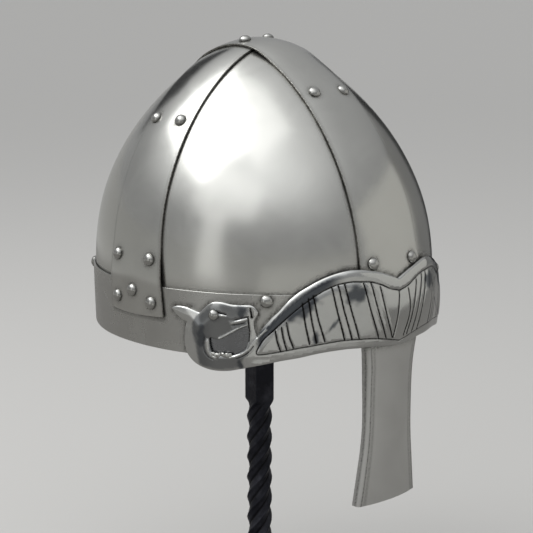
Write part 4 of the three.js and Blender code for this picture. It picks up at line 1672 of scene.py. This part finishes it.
        # Black polish in the engraving, and painted shade round the eye rivets.
        grime = np.maximum(black, 0.7 * rivet_grime(points + normals * LAYERS.sheet, rivets))
        marks = {"grime": grime, "tarnish": self.tarnish(places, outline, cuts)}
        obj = shell("brow_plate_sheet", Patch(points, normals, faces, marks), LAYERS.sheet, 0.25)
        obj.data.materials.append(BROW_STEEL.material())
        settle(obj, Slot.BROW, ["brow_plate"])


# ---- nasal


@dataclass
class Nasal:
    """The nose guard: a curved face whose edges fold back below the brow plate.

    Attributes:
        foot: Height of its lower edge, below the rim.
        top: Height of its upper edge, behind the brow plate.
        half_widths: (height, half width).
        flanges: (height, depth of the folded edge beyond its bend).
        set_backs: (height, how far the face falls back).
        radius: Of the face, in plan.
        bend: Radius of the fold.
        fold: The edges turn back between these heights.
        groove: Depth of the line filed beside the fold.
        creases: (column from the middle, darkness) of the painted shade lines beside and along the
            fold.
    """

    sheet = 1.5
    foot: float = -94.0
    top: float = 16.0
    half_widths: Line = (
        (-94, 24.9), (-83, 23.3), (-72, 21.8), (-61, 20.4), (-50, 19.6), (-35, 19.3), (-20, 19.3),
        (-9, 19.7), (-2, 20.6), (3, 21.2), (8, 20), (16, 18))
    flanges: Line = (
        (-94, 3.3), (-60, 3), (-35, 3.1), (-20, 3.8), (-9, 4.1), (-2, 3.8), (3.4, 3.2), (6, 1.2),
        (16, 0.6))
    set_backs: Line = ((-94, 2.2), (-50, 1.9), (-15, 1.4), (-4, 0.7), (6, 0), (16, 0))
    radius: float = 90.0
    bend: float = 2.2
    fold: tuple[float, float] = (3.2, 6.0)
    groove: float = 0.24
    creases: Line = ((17.3, 0.45), (20.4, 0.9), (27.8, 0.9))

    def face_y(self, x: Array) -> Array:
        """How far the face falls back across its width."""
        return self.radius - np.sqrt(self.radius**2 - x**2)

    @property
    def front(self) -> float:
        """Where the middle of its face is at the rim, as y."""
        return float(DOME.around(0.0, 0.0)[1]) - LAYERS.gap - LAYERS.layer - self.sheet

    def section(self, z: float) -> Array:
        """Draws the plan section of the outer face, from edge to edge.

        Args:
            z: The height.

        Returns:
            Places, N by 2.
        """
        half, flange = float(read_table(self.half_widths, z)), float(read_table(self.flanges, z))
        folded = 1 - float(smooth(z, *self.fold))
        shoulder = half - self.bend
        face = tight_spread(0, shoulder, 18, 0.02)
        groove = self.groove * np.exp(-((face - shoulder + 2.6) / 0.5) ** 2) * folded
        inner = stacked(face, self.face_y(face) + groove)
        turn = np.linspace(0, math.pi / 2, 8)[1:]
        start = self.face_y(np.array(shoulder))
        bent = stacked(shoulder + self.bend * np.sin(turn),
                       start + self.bend * (1 - np.cos(turn)))
        tail = np.linspace(0, flange, 5)[1:]
        bent = np.vstack([bent, stacked(np.full(4, half), start + self.bend + tail)])
        run = np.concatenate([self.bend * turn, self.bend * math.pi / 2 + tail])
        flat = stacked(shoulder + run, self.face_y(shoulder + run))
        wing = flat + (bent - flat) * folded
        right = np.vstack([inner, wing])
        return np.vstack([(right * [-1, 1])[:0:-1], right])

    def build(self) -> None:
        """Builds the nasal."""
        heights = np.concatenate([tight_spread(self.foot, 2, 70, 0.004), np.linspace(2.4, 7.2, 13),
                                  np.linspace(8, self.top, 7)])
        rows, ways = [], []
        for z in heights:
            places = self.section(z)
            run = np.gradient(places, axis=0)
            run /= np.hypot(*run.T)[:, None]
            y = self.front + float(read_table(self.set_backs, z)) + places[:, 1]
            rows.append(stacked(places[:, 0], y, np.full(len(y), z)))
            ways.append(stacked(run[:, 1], -run[:, 0], 0 * y))
        points, normals = np.array(rows), np.array(ways)
        stray = beaten(points, 0.1, 71, 18, 50)
        points = points + normals * (stray - self.sheet)[..., None]
        column = np.abs(np.arange(points.shape[1]) - (points.shape[1] - 1) / 2)
        # Painted shade: lines in the fold's creases, darker turned-back edges, and shade under the
        # brow plate.
        crease = sum(dark * np.exp(-((column - place) / 0.9) ** 2) for place, dark in self.creases)
        crease = np.maximum(crease, 0.35 * (column > 28))
        under_brow = fades(3.2 - heights, 0, 1.6)
        grime = np.maximum(crease[None, :], 0.9 * under_brow[:, None])
        patch = Patch(points.reshape(-1, 3), normals.reshape(-1, 3), grid_faces(*points.shape[:2]),
                      {"grime": grime.reshape(-1)})
        obj = shell("nasal_sheet", patch, self.sheet, 0.35)
        obj.data.materials.append(NASAL_STEEL.material())
        settle(obj, Slot.NASAL, ["nasal"])


# ---- rivets, welds and bar by nodes


class NodeRecipe:
    """A geometry tree with named inputs, built by a subclass and run on an object.

    Attributes:
        name: The tree's name.
        sizes: Its inputs and their values, metres or plain numbers.
    """

    name = "recipe"
    sizes: dict[str, float] = {}

    def __init__(self) -> None:
        """Makes the tree, its sockets and its nodes."""
        self.tree = bpy.data.node_groups.new(self.name, "GeometryNodeTree")
        sockets = [("Geometry", "Geometry"), *((name, "Float") for name in self.sizes),
                   ("Material", "Material")]
        for name, kind in sockets:
            self.tree.interface.new_socket(name, in_out="INPUT", socket_type=f"NodeSocket{kind}")
        self.tree.interface.new_socket(
            "Geometry", in_out="OUTPUT", socket_type="NodeSocketGeometry")
        self.given = self.add("NodeGroupInput").outputs
        real = self.add("GeometryNodeRealizeInstances", None, [self.shape()])
        dressed = self.add("GeometryNodeSetMaterial", None,
                           {"Geometry": real, "Material": self.given["Material"]})
        self.add("NodeGroupOutput", None, [dressed])

    def add(self, kind: str, settings: dict | None = None, links: dict | Sequence | None = None
            ) -> Node:
        """Adds a node to the tree."""
        return add_node(self.tree, kind, settings, links)

    def stray(self, scale: float, detail: float, middle: float, depth: Feed) -> Node:
        """Makes noise to push a face in and out by.

        Args:
            scale: How fine it is.
            detail: How many finer layers it has.
            middle: The noise that leaves the face where it is.
            depth: How strong it is.

        Returns:
            The push.
        """
        noise = self.add(NOISE, None,
                         {"Vector": self.add("GeometryNodeInputPosition"), "Scale": scale,
                          "Detail": detail})
        return self.add(MATH, TIMES, [self.add(MATH, LESS, [noise, middle]), depth])

    def pushed(self, piece: Feed, by: Feed) -> Node:
        """Moves a piece's points out along its normals.

        Args:
            piece: The piece.
            by: How far.

        Returns:
            The piece, moved.
        """
        shift = self.add("ShaderNodeVectorMath", {"operation": "SCALE"},
                         {0: self.add("GeometryNodeInputNormal"), "Scale": by})
        return self.add("GeometryNodeSetPosition", None, {"Geometry": piece, "Offset": shift})

    def on_points(self, piece: Feed) -> Node:
        """Puts a copy of a piece on every point, turned to its "out" and scaled by its "size".

        Args:
            piece: The piece.

        Returns:
            The copies, as one mesh.
        """
        out = self.add("GeometryNodeInputNamedAttribute", VECTOR, {"Name": "out"})
        size = self.add("GeometryNodeInputNamedAttribute", FLOAT, {"Name": "size"})
        turn = self.add("FunctionNodeAlignRotationToVector", {"axis": "Z"}, {"Vector": out})
        placed = self.add("GeometryNodeInstanceOnPoints", None,
                          {"Points": self.given["Geometry"], "Instance": piece, "Rotation": turn,
                           "Scale": size})
        return self.add("GeometryNodeRealizeInstances", None, [placed])

    def shape(self) -> Node:
        """Builds the shape's nodes and returns the last."""
        raise NotImplementedError

    def run(self, obj: Object, material: Material) -> Object:
        """Runs the tree on an object and keeps the result as plain mesh.

        Args:
            obj: The object.
            material: What the tree sets on it.

        Returns:
            The same object.
        """
        modifier = obj.modifiers.new(self.name, "NODES")
        modifier.node_group = self.tree
        values = self.sizes | {"Material": material}
        for item in self.tree.interface.items_tree:
            if item.in_out == "INPUT" and item.name in values:
                modifier[item.identifier] = values[item.name]
        obj = applied(obj)
        obj.data.shade_smooth()
        return obj


def seeded_points(name: str, points: Array, out: Array, sizes: Array) -> Object:
    """Makes an object of loose points that carry a direction and a size.

    Args:
        name: The object's name.
        points: The points, mm.
        out: Their directions.
        sizes: Their sizes.

    Returns:
        The object.
    """
    obj = new_object(name, to_row(points), [])
    way = obj.data.attributes.new("out", "FLOAT_VECTOR", "POINT")
    way.data.foreach_set("vector", out.astype(np.float32).ravel())
    size = obj.data.attributes.new("size", "FLOAT", "POINT")
    size.data.foreach_set("value", sizes.astype(np.float32))
    return obj


class DomedRivets(NodeRecipe):
    """A domed head with a short plug under it on every point, faintly hammered."""

    name = "domed rivets"
    sizes = {"Head Radius": 0.0038, "Head Height": 0.003, "Plug Radius": 0.002,
             "Plug Depth": 0.0013, "Hammering": 0.00034}

    def shape(self) -> Node:
        """Shapes a ball into a head and a plug, paints shade on the head's lower part, and puts
        one on each point.

        Returns:
            The rivets.
        """
        ball = self.add("GeometryNodeMeshUVSphere", None,
                        {"Segments": 32, "Rings": 16, "Radius": 1.0})
        x, y, z = self.add("ShaderNodeSeparateXYZ", None,
                           [self.add("GeometryNodeInputPosition")]).outputs
        below = self.add(MATH, BELOW, [z, -0.02])
        wide, tall = (
            self.add(MIX, FLOAT, {0: below, 2: self.given[head], 3: self.given[plug]})
            for head, plug in (("Head Radius", "Plug Radius"), ("Head Height", "Plug Depth")))
        formed = self.add("ShaderNodeCombineXYZ", None, [
            self.add(MATH, TIMES, [along, size])
            for along, size in ((x, wide), (y, wide), (z, tall))])
        # Painted shade: the lower part of each head, near the sheet, is marked dark.
        low = self.add(RANGE, None, {"Value": z, "From Min": 0.12, "From Max": 0.55,
                                     "To Min": 1.0, "To Max": 0.0})
        marked = self.add("GeometryNodeStoreNamedAttribute", FLOAT,
                          {"Geometry": ball, "Name": "grime", "Value": low})
        head = self.add("GeometryNodeSetPosition", None, {"Geometry": marked, "Position": formed})
        hammered = self.stray(330.0, 1.0, 0.5, self.given["Hammering"])
        return self.pushed(self.on_points(head), hammered)


class WeldBeads(NodeRecipe):
    """A lump of weld metal on every point."""

    name = "weld beads"
    sizes = {"Radius": 0.0011, "Flatness": 0.62, "Roughness": 0.0009}

    def shape(self) -> Node:
        """Puts a flattened, uneven ball on each point.

        Returns:
            The lumps.
        """
        ball = self.add("GeometryNodeMeshIcoSphere", None,
                        {"Radius": self.given["Radius"], "Subdivisions": 4})
        flat = self.add("ShaderNodeCombineXYZ", None, {0: 1.0, 1: 1.0, 2: self.given["Flatness"]})
        lump = self.add("GeometryNodeTransform", None, {"Geometry": ball, "Scale": flat})
        lumpy = self.stray(900.0, 2.0, 0.5, self.given["Roughness"])
        return self.pushed(self.on_points(lump), lumpy)


class TwistedBar(NodeRecipe):
    """A square bar that is straight at both ends and twisted between."""

    name = "twisted bar"
    sizes = {"Bottom": 0.0082, "Top": 0.389, "Width": 0.0139, "Corner": 0.0007,
             "Twist Bottom": 0.0385, "Twist Top": 0.168, "Pitch": 0.056, "Turn": math.radians(-8),
             "Drawn In": 0.45, "Groove Depth": 0.0006, "Forging Marks": 0.0007}

    def shape(self) -> Node:
        """Sweeps a rounded square up a line whose tilt turns with height.

        Returns:
            The bar.
        """
        ends = [self.add("ShaderNodeCombineXYZ", None, {2: self.given[word]})
                for word in ("Bottom", "Top")]
        line = self.add("GeometryNodeCurvePrimitiveLine", None, {"Start": ends[0], "End": ends[1]})
        fine = self.add("GeometryNodeResampleCurve", None, {"Curve": line, "Count": 560})
        x, y, z = self.add("ShaderNodeSeparateXYZ", None,
                           [self.add("GeometryNodeInputPosition")]).outputs
        top, bottom = self.given["Twist Top"], self.given["Twist Bottom"]
        turns = self.add(MATH, TIMES, [self.add(MATH, OVER, [self.add(MATH, LESS, [top, bottom]),
                                              self.given["Pitch"]]), -2 * math.pi])
        twist = self.add(RANGE, None,
                         {"Value": z, "From Min": bottom, "From Max": top, "To Min": turns,
                          "To Max": 0.0})
        tilt = self.add("GeometryNodeSetCurveTilt", None,
                        {"Curve": fine, "Tilt": self.add(MATH, PLUS, [twist, self.given["Turn"]])})
        square = self.add("GeometryNodeCurvePrimitiveQuadrilateral", None,
                          {"Width": self.given["Width"], "Height": self.given["Width"]})
        rounded = self.add("GeometryNodeFilletCurve", {"mode": "POLY"},
                           {"Curve": square, "Radius": self.given["Corner"], "Count": 5})
        profile = self.add("GeometryNodeResampleCurve", None, {"Curve": rounded, "Count": 88})
        off_middle = self.add(MATH, LOWER, [self.add(MATH, ABSOLUTE, [at]) for at in (x, y)])
        valley = self.add(RANGE, EASED, {"Value": off_middle, "From Min": 0.0016, "From Max": 0.0})
        marked = self.add("GeometryNodeStoreNamedAttribute", FLOAT,
                          {"Geometry": profile, "Name": "valley", "Value": valley})
        bar = self.add("GeometryNodeCurveToMesh", None,
                       {"Curve": tilt, "Profile Curve": marked, "Fill Caps": True})
        return self.worked(bar, top, bottom)

    def worked(self, bar: Feed, top: Feed, bottom: Feed) -> Node:
        """Draws the corners in where the bar is twisted, grooves its faces, paints shade in the
        grooves and roughens it.

        Args:
            bar: The bar.
            top: Where the twist ends.
            bottom: Where it starts.

        Returns:
            The finished bar.
        """
        x, y, z = self.add("ShaderNodeSeparateXYZ", None,
                           [self.add("GeometryNodeInputPosition")]).outputs
        below = self.add(RANGE, EASED, {"Value": z, "From Min": top,
                                        "From Max": self.add(MATH, LESS, [top, 0.006])})
        above = self.add(RANGE, EASED, {"Value": z, "From Min": bottom,
                                        "From Max": self.add(MATH, PLUS, [bottom, 0.006])})
        twisted = self.add(MATH, TIMES, [below, above])
        squares = [self.add(MATH, TIMES, [along, along]) for along in (x, y)]
        out = self.add(MATH, ROOT, [self.add(MATH, PLUS, squares)])
        half = self.add(MATH, TIMES, [self.given["Width"], 0.5])
        proud = self.add(MATH, HIGHER, [0.0, self.add(MATH, LESS, [out, half])])
        drawing = self.add(MATH, TIMES, [proud, self.given["Drawn In"]])
        pull = self.add(MATH, TIMES, [drawing, twisted])
        part = self.add(MATH, OVER, [pull, self.add(MATH, HIGHER, [out, 0.001])])
        share = self.add(MATH, LESS, [1.0, part])
        sides = [self.add(MATH, TIMES, [along, share]) for along in (x, y)]
        drawn = self.add("ShaderNodeCombineXYZ", None, [*sides, z])
        shaped = self.add("GeometryNodeSetPosition", None, {"Geometry": bar, "Position": drawn})
        valley = self.add("GeometryNodeInputNamedAttribute", FLOAT, {"Name": "valley"})
        # Painted shade along the middle of each face where the bar is twisted.
        dark = self.add(MATH, TIMES, [valley, twisted])
        soiled = self.add("GeometryNodeStoreNamedAttribute", FLOAT,
                          {"Geometry": shaped, "Name": "grime", "Value": dark})
        marks = self.add(MATH, TIMES, [self.given["Forging Marks"],
                                       self.add(MATH, TIMES_PLUS, [twisted, 0.85, 0.15])])
        groove = self.add(MATH, TIMES, [dark, self.given["Groove Depth"]])
        stray = self.stray(190.0, 4.0, 0.62, marks)
        return self.pushed(soiled, self.add(MATH, LESS, [stray, groove]))


@dataclass
class Rivets:
    """All the rivets: polished heads outside, peened tails inside.

    Attributes:
        seats: Where they are.
    """

    seats: list[RivetSeat]

    def build(self) -> None:
        """Builds heads and tails as one piece."""
        heads = np.array([rivet.head for rivet in self.seats])
        tails = np.array([rivet.tail for rivet in self.seats])
        out = np.array([rivet.out for rivet in self.seats])
        sizes = np.array([rivet.size for rivet in self.seats])
        obj = seeded_points("rivets", np.vstack([heads, tails]), np.vstack([out, -out]),
                            np.concatenate([sizes, 0.62 * sizes]))
        obj = DomedRivets().run(obj, RIVET_STEEL.material())
        settle(obj, Slot.RIVET, [rivet.node for rivet in self.seats])


@dataclass
class Welds:
    """Lumps of weld metal where the nasal meets the brow plate and along the beasts' lower jaws.

    Attributes:
        plate: The brow plate.
        nasal: The nasal.
        joint: (middle as x, number of lumps, half length) of the runs along the nasal.
        jaw: Where a jaw's run starts and ends on the brow plate's layout.
        jaw_lumps: How many lumps it has.
        jaw_height: Their height on the layout.
    """

    plate: BrowPlate
    nasal: Nasal
    joint: tuple[tuple[float, int, float], ...] = ((-14.5, 5, 4.0), (13.5, 4, 3.0))
    jaw: tuple[float, float] = (103.4, 114.2)
    jaw_lumps: int = 9
    jaw_height: float = 1.2

    def build(self) -> None:
        """Builds the lumps."""
        rng = np.random.default_rng(5)
        points, out, sizes = [], [], []
        for middle, count, spread in self.joint:
            for x in middle + rng.uniform(-0.5, 0.5, count) * spread * 2:
                z = 2.4 + 0.08 * abs(x) - rng.uniform(0, 1.2)
                points.append([x, self.nasal.front + self.nasal.face_y(x) + 0.3, z])
                out.append([x / self.nasal.radius, -1, -0.4])
                sizes.append(rng.uniform(0.5, 1.0))
        for side in Side:
            spread = rng.uniform(-0.4, 0.4, self.jaw_lumps)
            for s in np.linspace(*self.jaw, self.jaw_lumps) + spread:
                z = self.jaw_height + rng.uniform(-0.3, 0.9)
                place = DOME.around(side.value * DOME.angle_along(np.array(s)), np.array(z))
                way = DOME.normals(place)
                points.append(place + way * (self.plate.outer_at((s, 0.6)) - 0.5))
                out.append(way)
                sizes.append(rng.uniform(0.9, 1.6))
        obj = seeded_points("weld_beads", np.array(points), np.array(out), np.array(sizes))
        settle(WeldBeads().run(obj, RIVET_STEEL.material()), Slot.RIVET)


@dataclass
class Stand:
    """The iron stand: a round base, a twisted square bar and a dished head under the crown.

    Attributes:
        base_radius: mm.
        base_thickness: mm.
        head_radius: mm.
        head_thickness: mm.
        head_dish: How far its middle is pressed down, mm.
        head_room: Room between it and the plates, mm.
    """

    base_radius: float = 85.0
    base_thickness: float = 8.0
    head_radius: float = 48.0
    head_thickness: float = 3.0
    head_dish: float = 3.0
    head_room: float = 0.45

    def build_base(self) -> None:
        """Builds the base plate."""
        r, t = self.base_radius, self.base_thickness
        profile = [(0, 0), (r - 6, 0), (r - 1.6, 0), (r - 0.8, 0.15), (r - 0.15, 0.8), (r, 1.6),
                   (r, t - 3.2), (r - 0.2, t - 1.9), (r - 0.9, t - 0.9), (r - 1.9, t - 0.2),
                   (r - 3.2, t), (r - 7, t), (r - 40, t), (0, t)]
        obj = lathe("stand_base_plate", profile, 160)
        obj.data.materials.append(BLACK_IRON.material())
        settle(obj, Slot.IRON, ["stand_base"])

    def build_bar(self) -> None:
        """Builds the bar."""
        obj = new_object("stand_bar_twisted", np.zeros((1, 3)), [])
        obj = TwistedBar().run(obj, BLACK_IRON.material())
        settle(obj, Slot.IRON, ["stand_bar"])

    def build_head(self) -> None:
        """Builds the dished head."""
        rings, sides = 22, 72
        radius = tight_spread(self.head_radius / rings, self.head_radius, rings - 1, 0.01)[:, None]
        turn = np.linspace(0, 2 * math.pi, sides, endpoint=False)[None, :]
        start = stacked(radius * np.cos(turn), DOME.lean + radius * np.sin(turn),
                        0 * radius * turn + DOME.cast_height)
        ring_points = DOME.cast(start, np.array([0, 0, 1])).reshape(-1, 3)
        middle = DOME.cast(np.array([[0, DOME.lean, DOME.cast_height]]), np.array([0, 0, 1]))
        points = np.vstack([ring_points, middle])
        away = np.concatenate([np.repeat(radius.ravel(), sides), [0.0]])
        dish = self.head_dish * (1 - smooth(away, self.head_radius / 3, self.head_radius))
        normals = DOME.normals(points)
        lift = -LAYERS.sheet - self.head_room - self.head_thickness - dish
        quads = grid_faces(len(radius), sides, joined=True)[:, ::-1]
        fan = stacked(np.full(sides, len(points) - 1), np.arange(sides),
                      (np.arange(sides) + 1) % sides)
        faces = np.vstack([quads[:, [0, 1, 2]], quads[:, [0, 2, 3]], fan])
        patch = Patch(points + normals * lift[:, None], normals, faces)
        obj = shell("stand_head_dish", patch, self.head_thickness, 0.5)
        obj.data.materials.append(BLACK_IRON.material())
        settle(obj, Slot.IRON, ["stand_head"])

    def build(self) -> None:
        """Builds the stand."""
        self.build_base()
        self.build_bar()
        self.build_head()


# ---- studio


def towards(azimuth: float, elevation: float) -> Vector:
    """Finds a direction.

    Args:
        azimuth: Degrees round from the front, towards the wearer's left.
        elevation: Degrees above level.

    Returns:
        It, of length 1.
    """
    turn, rise = math.radians(azimuth), math.radians(elevation)
    level = math.cos(rise)
    return Vector((math.sin(turn) * level, -math.cos(turn) * level, math.sin(rise)))


@dataclass(frozen=True)
class Hung:
    """Something flat that hangs round the helmet and faces it.

    Attributes:
        azimuth: Degrees round from the front, towards the wearer's left.
        elevation: Degrees above level.
        distance: Metres from the helmet.
        width: Metres.
        height: Metres.
    """

    azimuth: float
    elevation: float
    distance: float
    width: float
    height: float

    def hang(self, target: Vector) -> tuple[Vector, Quaternion]:
        """Finds the place of its middle and its turn."""
        way = towards(self.azimuth, self.elevation)
        return target + way * self.distance, way.to_track_quat("Z", "Y")


@dataclass(frozen=True)
class Softbox(Hung):
    """A rectangular softbox.

    Attributes:
        radiance: How bright its face is.
    """

    radiance: float

    def build(self, name: str, target: Vector) -> None:
        """Hangs the softbox, unseen by the camera itself.

        Args:
            name: The light's name.
            target: What it faces.
        """
        light = bpy.data.lights.new(name, "AREA")
        light.shape = "RECTANGLE"
        light.size, light.size_y = self.width, self.height
        light.energy = self.radiance * math.pi * self.width * self.height
        obj = bpy.data.objects.new(name, light)
        obj.rotation_mode = "QUATERNION"
        obj.location, obj.rotation_quaternion = self.hang(target)
        obj.visible_camera = False
        bpy.context.scene.collection.objects.link(obj)


@dataclass(frozen=True)
class Flag(Hung):
    """A card or a dark cloth on a frame, which the metal reflects and the camera doesn't see.

    Attributes:
        colour: Its face, sRGB.
    """

    colour: str

    def build(self, name: str, target: Vector) -> None:
        """Hangs it.

        Args:
            name: Its name.
            target: What it faces.
        """
        middle, turn = self.hang(target)
        corners = [middle + turn @ Vector((x * self.width / 2, y * self.height / 2, 0))
                   for x, y in ((-1, -1), (1, -1), (1, 1), (-1, 1))]
        flag = new_object(name, np.array(corners), [(0, 1, 2, 3)])
        flag.data.materials.append(Matte(f"{name}_cloth", self.colour).material())
        flag.visible_camera = flag.visible_diffuse = flag.visible_shadow = False


@dataclass(frozen=True)
class Studio:
    """Pale floor, soft light and the camera.

    Attributes:
        target: What the lights face, metres.
        camera_at: The camera's place, metres.
        camera_aim: What it looks at, metres.
        lens: mm on a 36 mm sensor.
        surround: Brightness of the room's walls.
        canopy: How much the white cloth overhead adds.
        softboxes: The softboxes by name.
        flags: The cards and dark cloths by name.
    """

    target: Triple = (0.0, 0.0, 0.3)
    camera_at: Triple = (-0.5644, -0.6176, 0.4206)
    camera_aim: Triple = (0.0014, -0.0053, 0.2568)
    lens: float = 89.2
    surround: float = 0.4
    canopy: float = 1.0
    softboxes: tuple[tuple[str, Softbox], ...] = (
        ("key_softbox", Softbox(-129, 57, 1.7, 1.5, 1.0, 2.6)),
        ("top_softbox", Softbox(-92, 74, 2.0, 1.7, 1.2, 0.6)),
        ("side_softbox", Softbox(-78, 35, 2.1, 1.6, 0.8, 0.42)),
        ("strip_softbox", Softbox(-84, 9, 1.9, 0.52, 1.1, 0.58)),
    )
    flags: tuple[tuple[str, Flag], ...] = (
        ("grey_flag", Flag(92, 6, 1.4, 0.72, 0.85, "#8E8E8E")),
        ("low_flag", Flag(114, 4, 1.3, 0.34, 0.9, "#202023")),
        ("high_flag", Flag(165, 26, 1.6, 0.68, 0.52, "#26272C")),
        ("floor_cloth", Flag(0, -90, 0.2998, 3.2, 3.2, "#8A8885")),
        ("front_card", Flag(-14, -19, 0.6, 0.95, 0.42, "#D0CFCC")),
        ("side_card", Flag(48, 7, 1.0, 1.15, 0.66, "#E4E3E0")),
    )

    def build_floor(self) -> None:
        """Lays the pale floor, which sweeps up into a backdrop far from the helmet."""
        top, under, reach = -0.4, -1.2, 14000
        sweep = [(5000 + (reach - 5000) * t, top + 2200 * t * t) for t in np.linspace(1, 0, 19)]
        ring = [(0, under), (1200, under), (reach + 20, under), *sweep, (1200, top), (0, top)]
        floor = lathe("floor", ring, 96)
        floor.data.materials.append(Matte("pale_matte_floor", "#C4C3C0", 0.0).material())

    def build_room(self) -> None:
        """Lights the room: even walls, and a white canopy brightest above the wearer's right."""
        world = bpy.data.worlds.new("room")
        world.use_nodes = True
        tree = world.node_tree
        way = add_node(tree, "ShaderNodeTexCoord").outputs["Generated"]
        height = add_node(tree, "ShaderNodeSeparateXYZ", None, {0: way}).outputs[2]
        up = add_node(tree, RANGE, EASED, {"Value": height, "From Min": 0.28, "From Max": 0.78})
        aside = add_node(tree, "ShaderNodeVectorMath", {"operation": "DOT_PRODUCT"},
                         {0: way, 1: (-0.9, 0.0, 0.45)})
        lean = add_node(tree, RANGE, EASED,
                        {"Value": aside.outputs["Value"], "From Min": -0.25, "From Max": 0.9,
                         "To Min": 0.15, "To Max": 1.0})
        cloth = add_node(tree, MATH, TIMES, {0: up, 1: lean})
        total = add_node(tree, MATH, TIMES_PLUS, {0: cloth, 1: self.canopy, 2: self.surround})
        back = tree.nodes["Background"]
        back.inputs["Color"].default_value = linear("#F2F3F5")
        tree.links.new(total.outputs[0], back.inputs["Strength"])
        bpy.context.scene.world = world

    def build_camera(self) -> None:
        """Sets up the camera."""
        data = bpy.data.cameras.new("camera")
        data.lens, data.sensor_width = self.lens, 36.0
        data.clip_start, data.clip_end = 0.05, 200.0
        camera = bpy.data.objects.new("camera", data)
        camera.location = self.camera_at
        camera.rotation_mode = "QUATERNION"
        way = Vector(self.camera_aim) - Vector(self.camera_at)
        camera.rotation_quaternion = way.to_track_quat("-Z", "Y")
        bpy.context.scene.collection.objects.link(camera)
        bpy.context.scene.camera = camera

    def build(self) -> None:
        """Builds the studio."""
        bpy.context.scene.view_settings.view_transform = "Standard"
        for name, softbox in self.softboxes:
            softbox.build(name, Vector(self.target))
        for name, flag in self.flags:
            flag.build(name, Vector(self.target))
        self.build_room()
        self.build_floor()
        self.build_camera()


# ---- assembly


def main() -> None:
    """Builds the helmet, its stand and the studio."""
    logging.basicConfig(level=logging.INFO, format="%(message)s", stream=sys.stdout)
    brow, nasal = BrowPlate(), Nasal()
    rivets = RivetPlan().seats(brow.eye, brow.outer_at(brow.eye))
    edge = closed(brow.outline())
    InfillPlates(rivets, edge).build()
    BrowBand(rivets, edge).build()
    Strips(rivets, edge).build()
    brow.build(rivets)
    nasal.build()
    Rivets(rivets).build()
    Welds(brow, nasal).build()
    Stand().build()
    Studio().build()


if __name__ == "__main__":
    main()
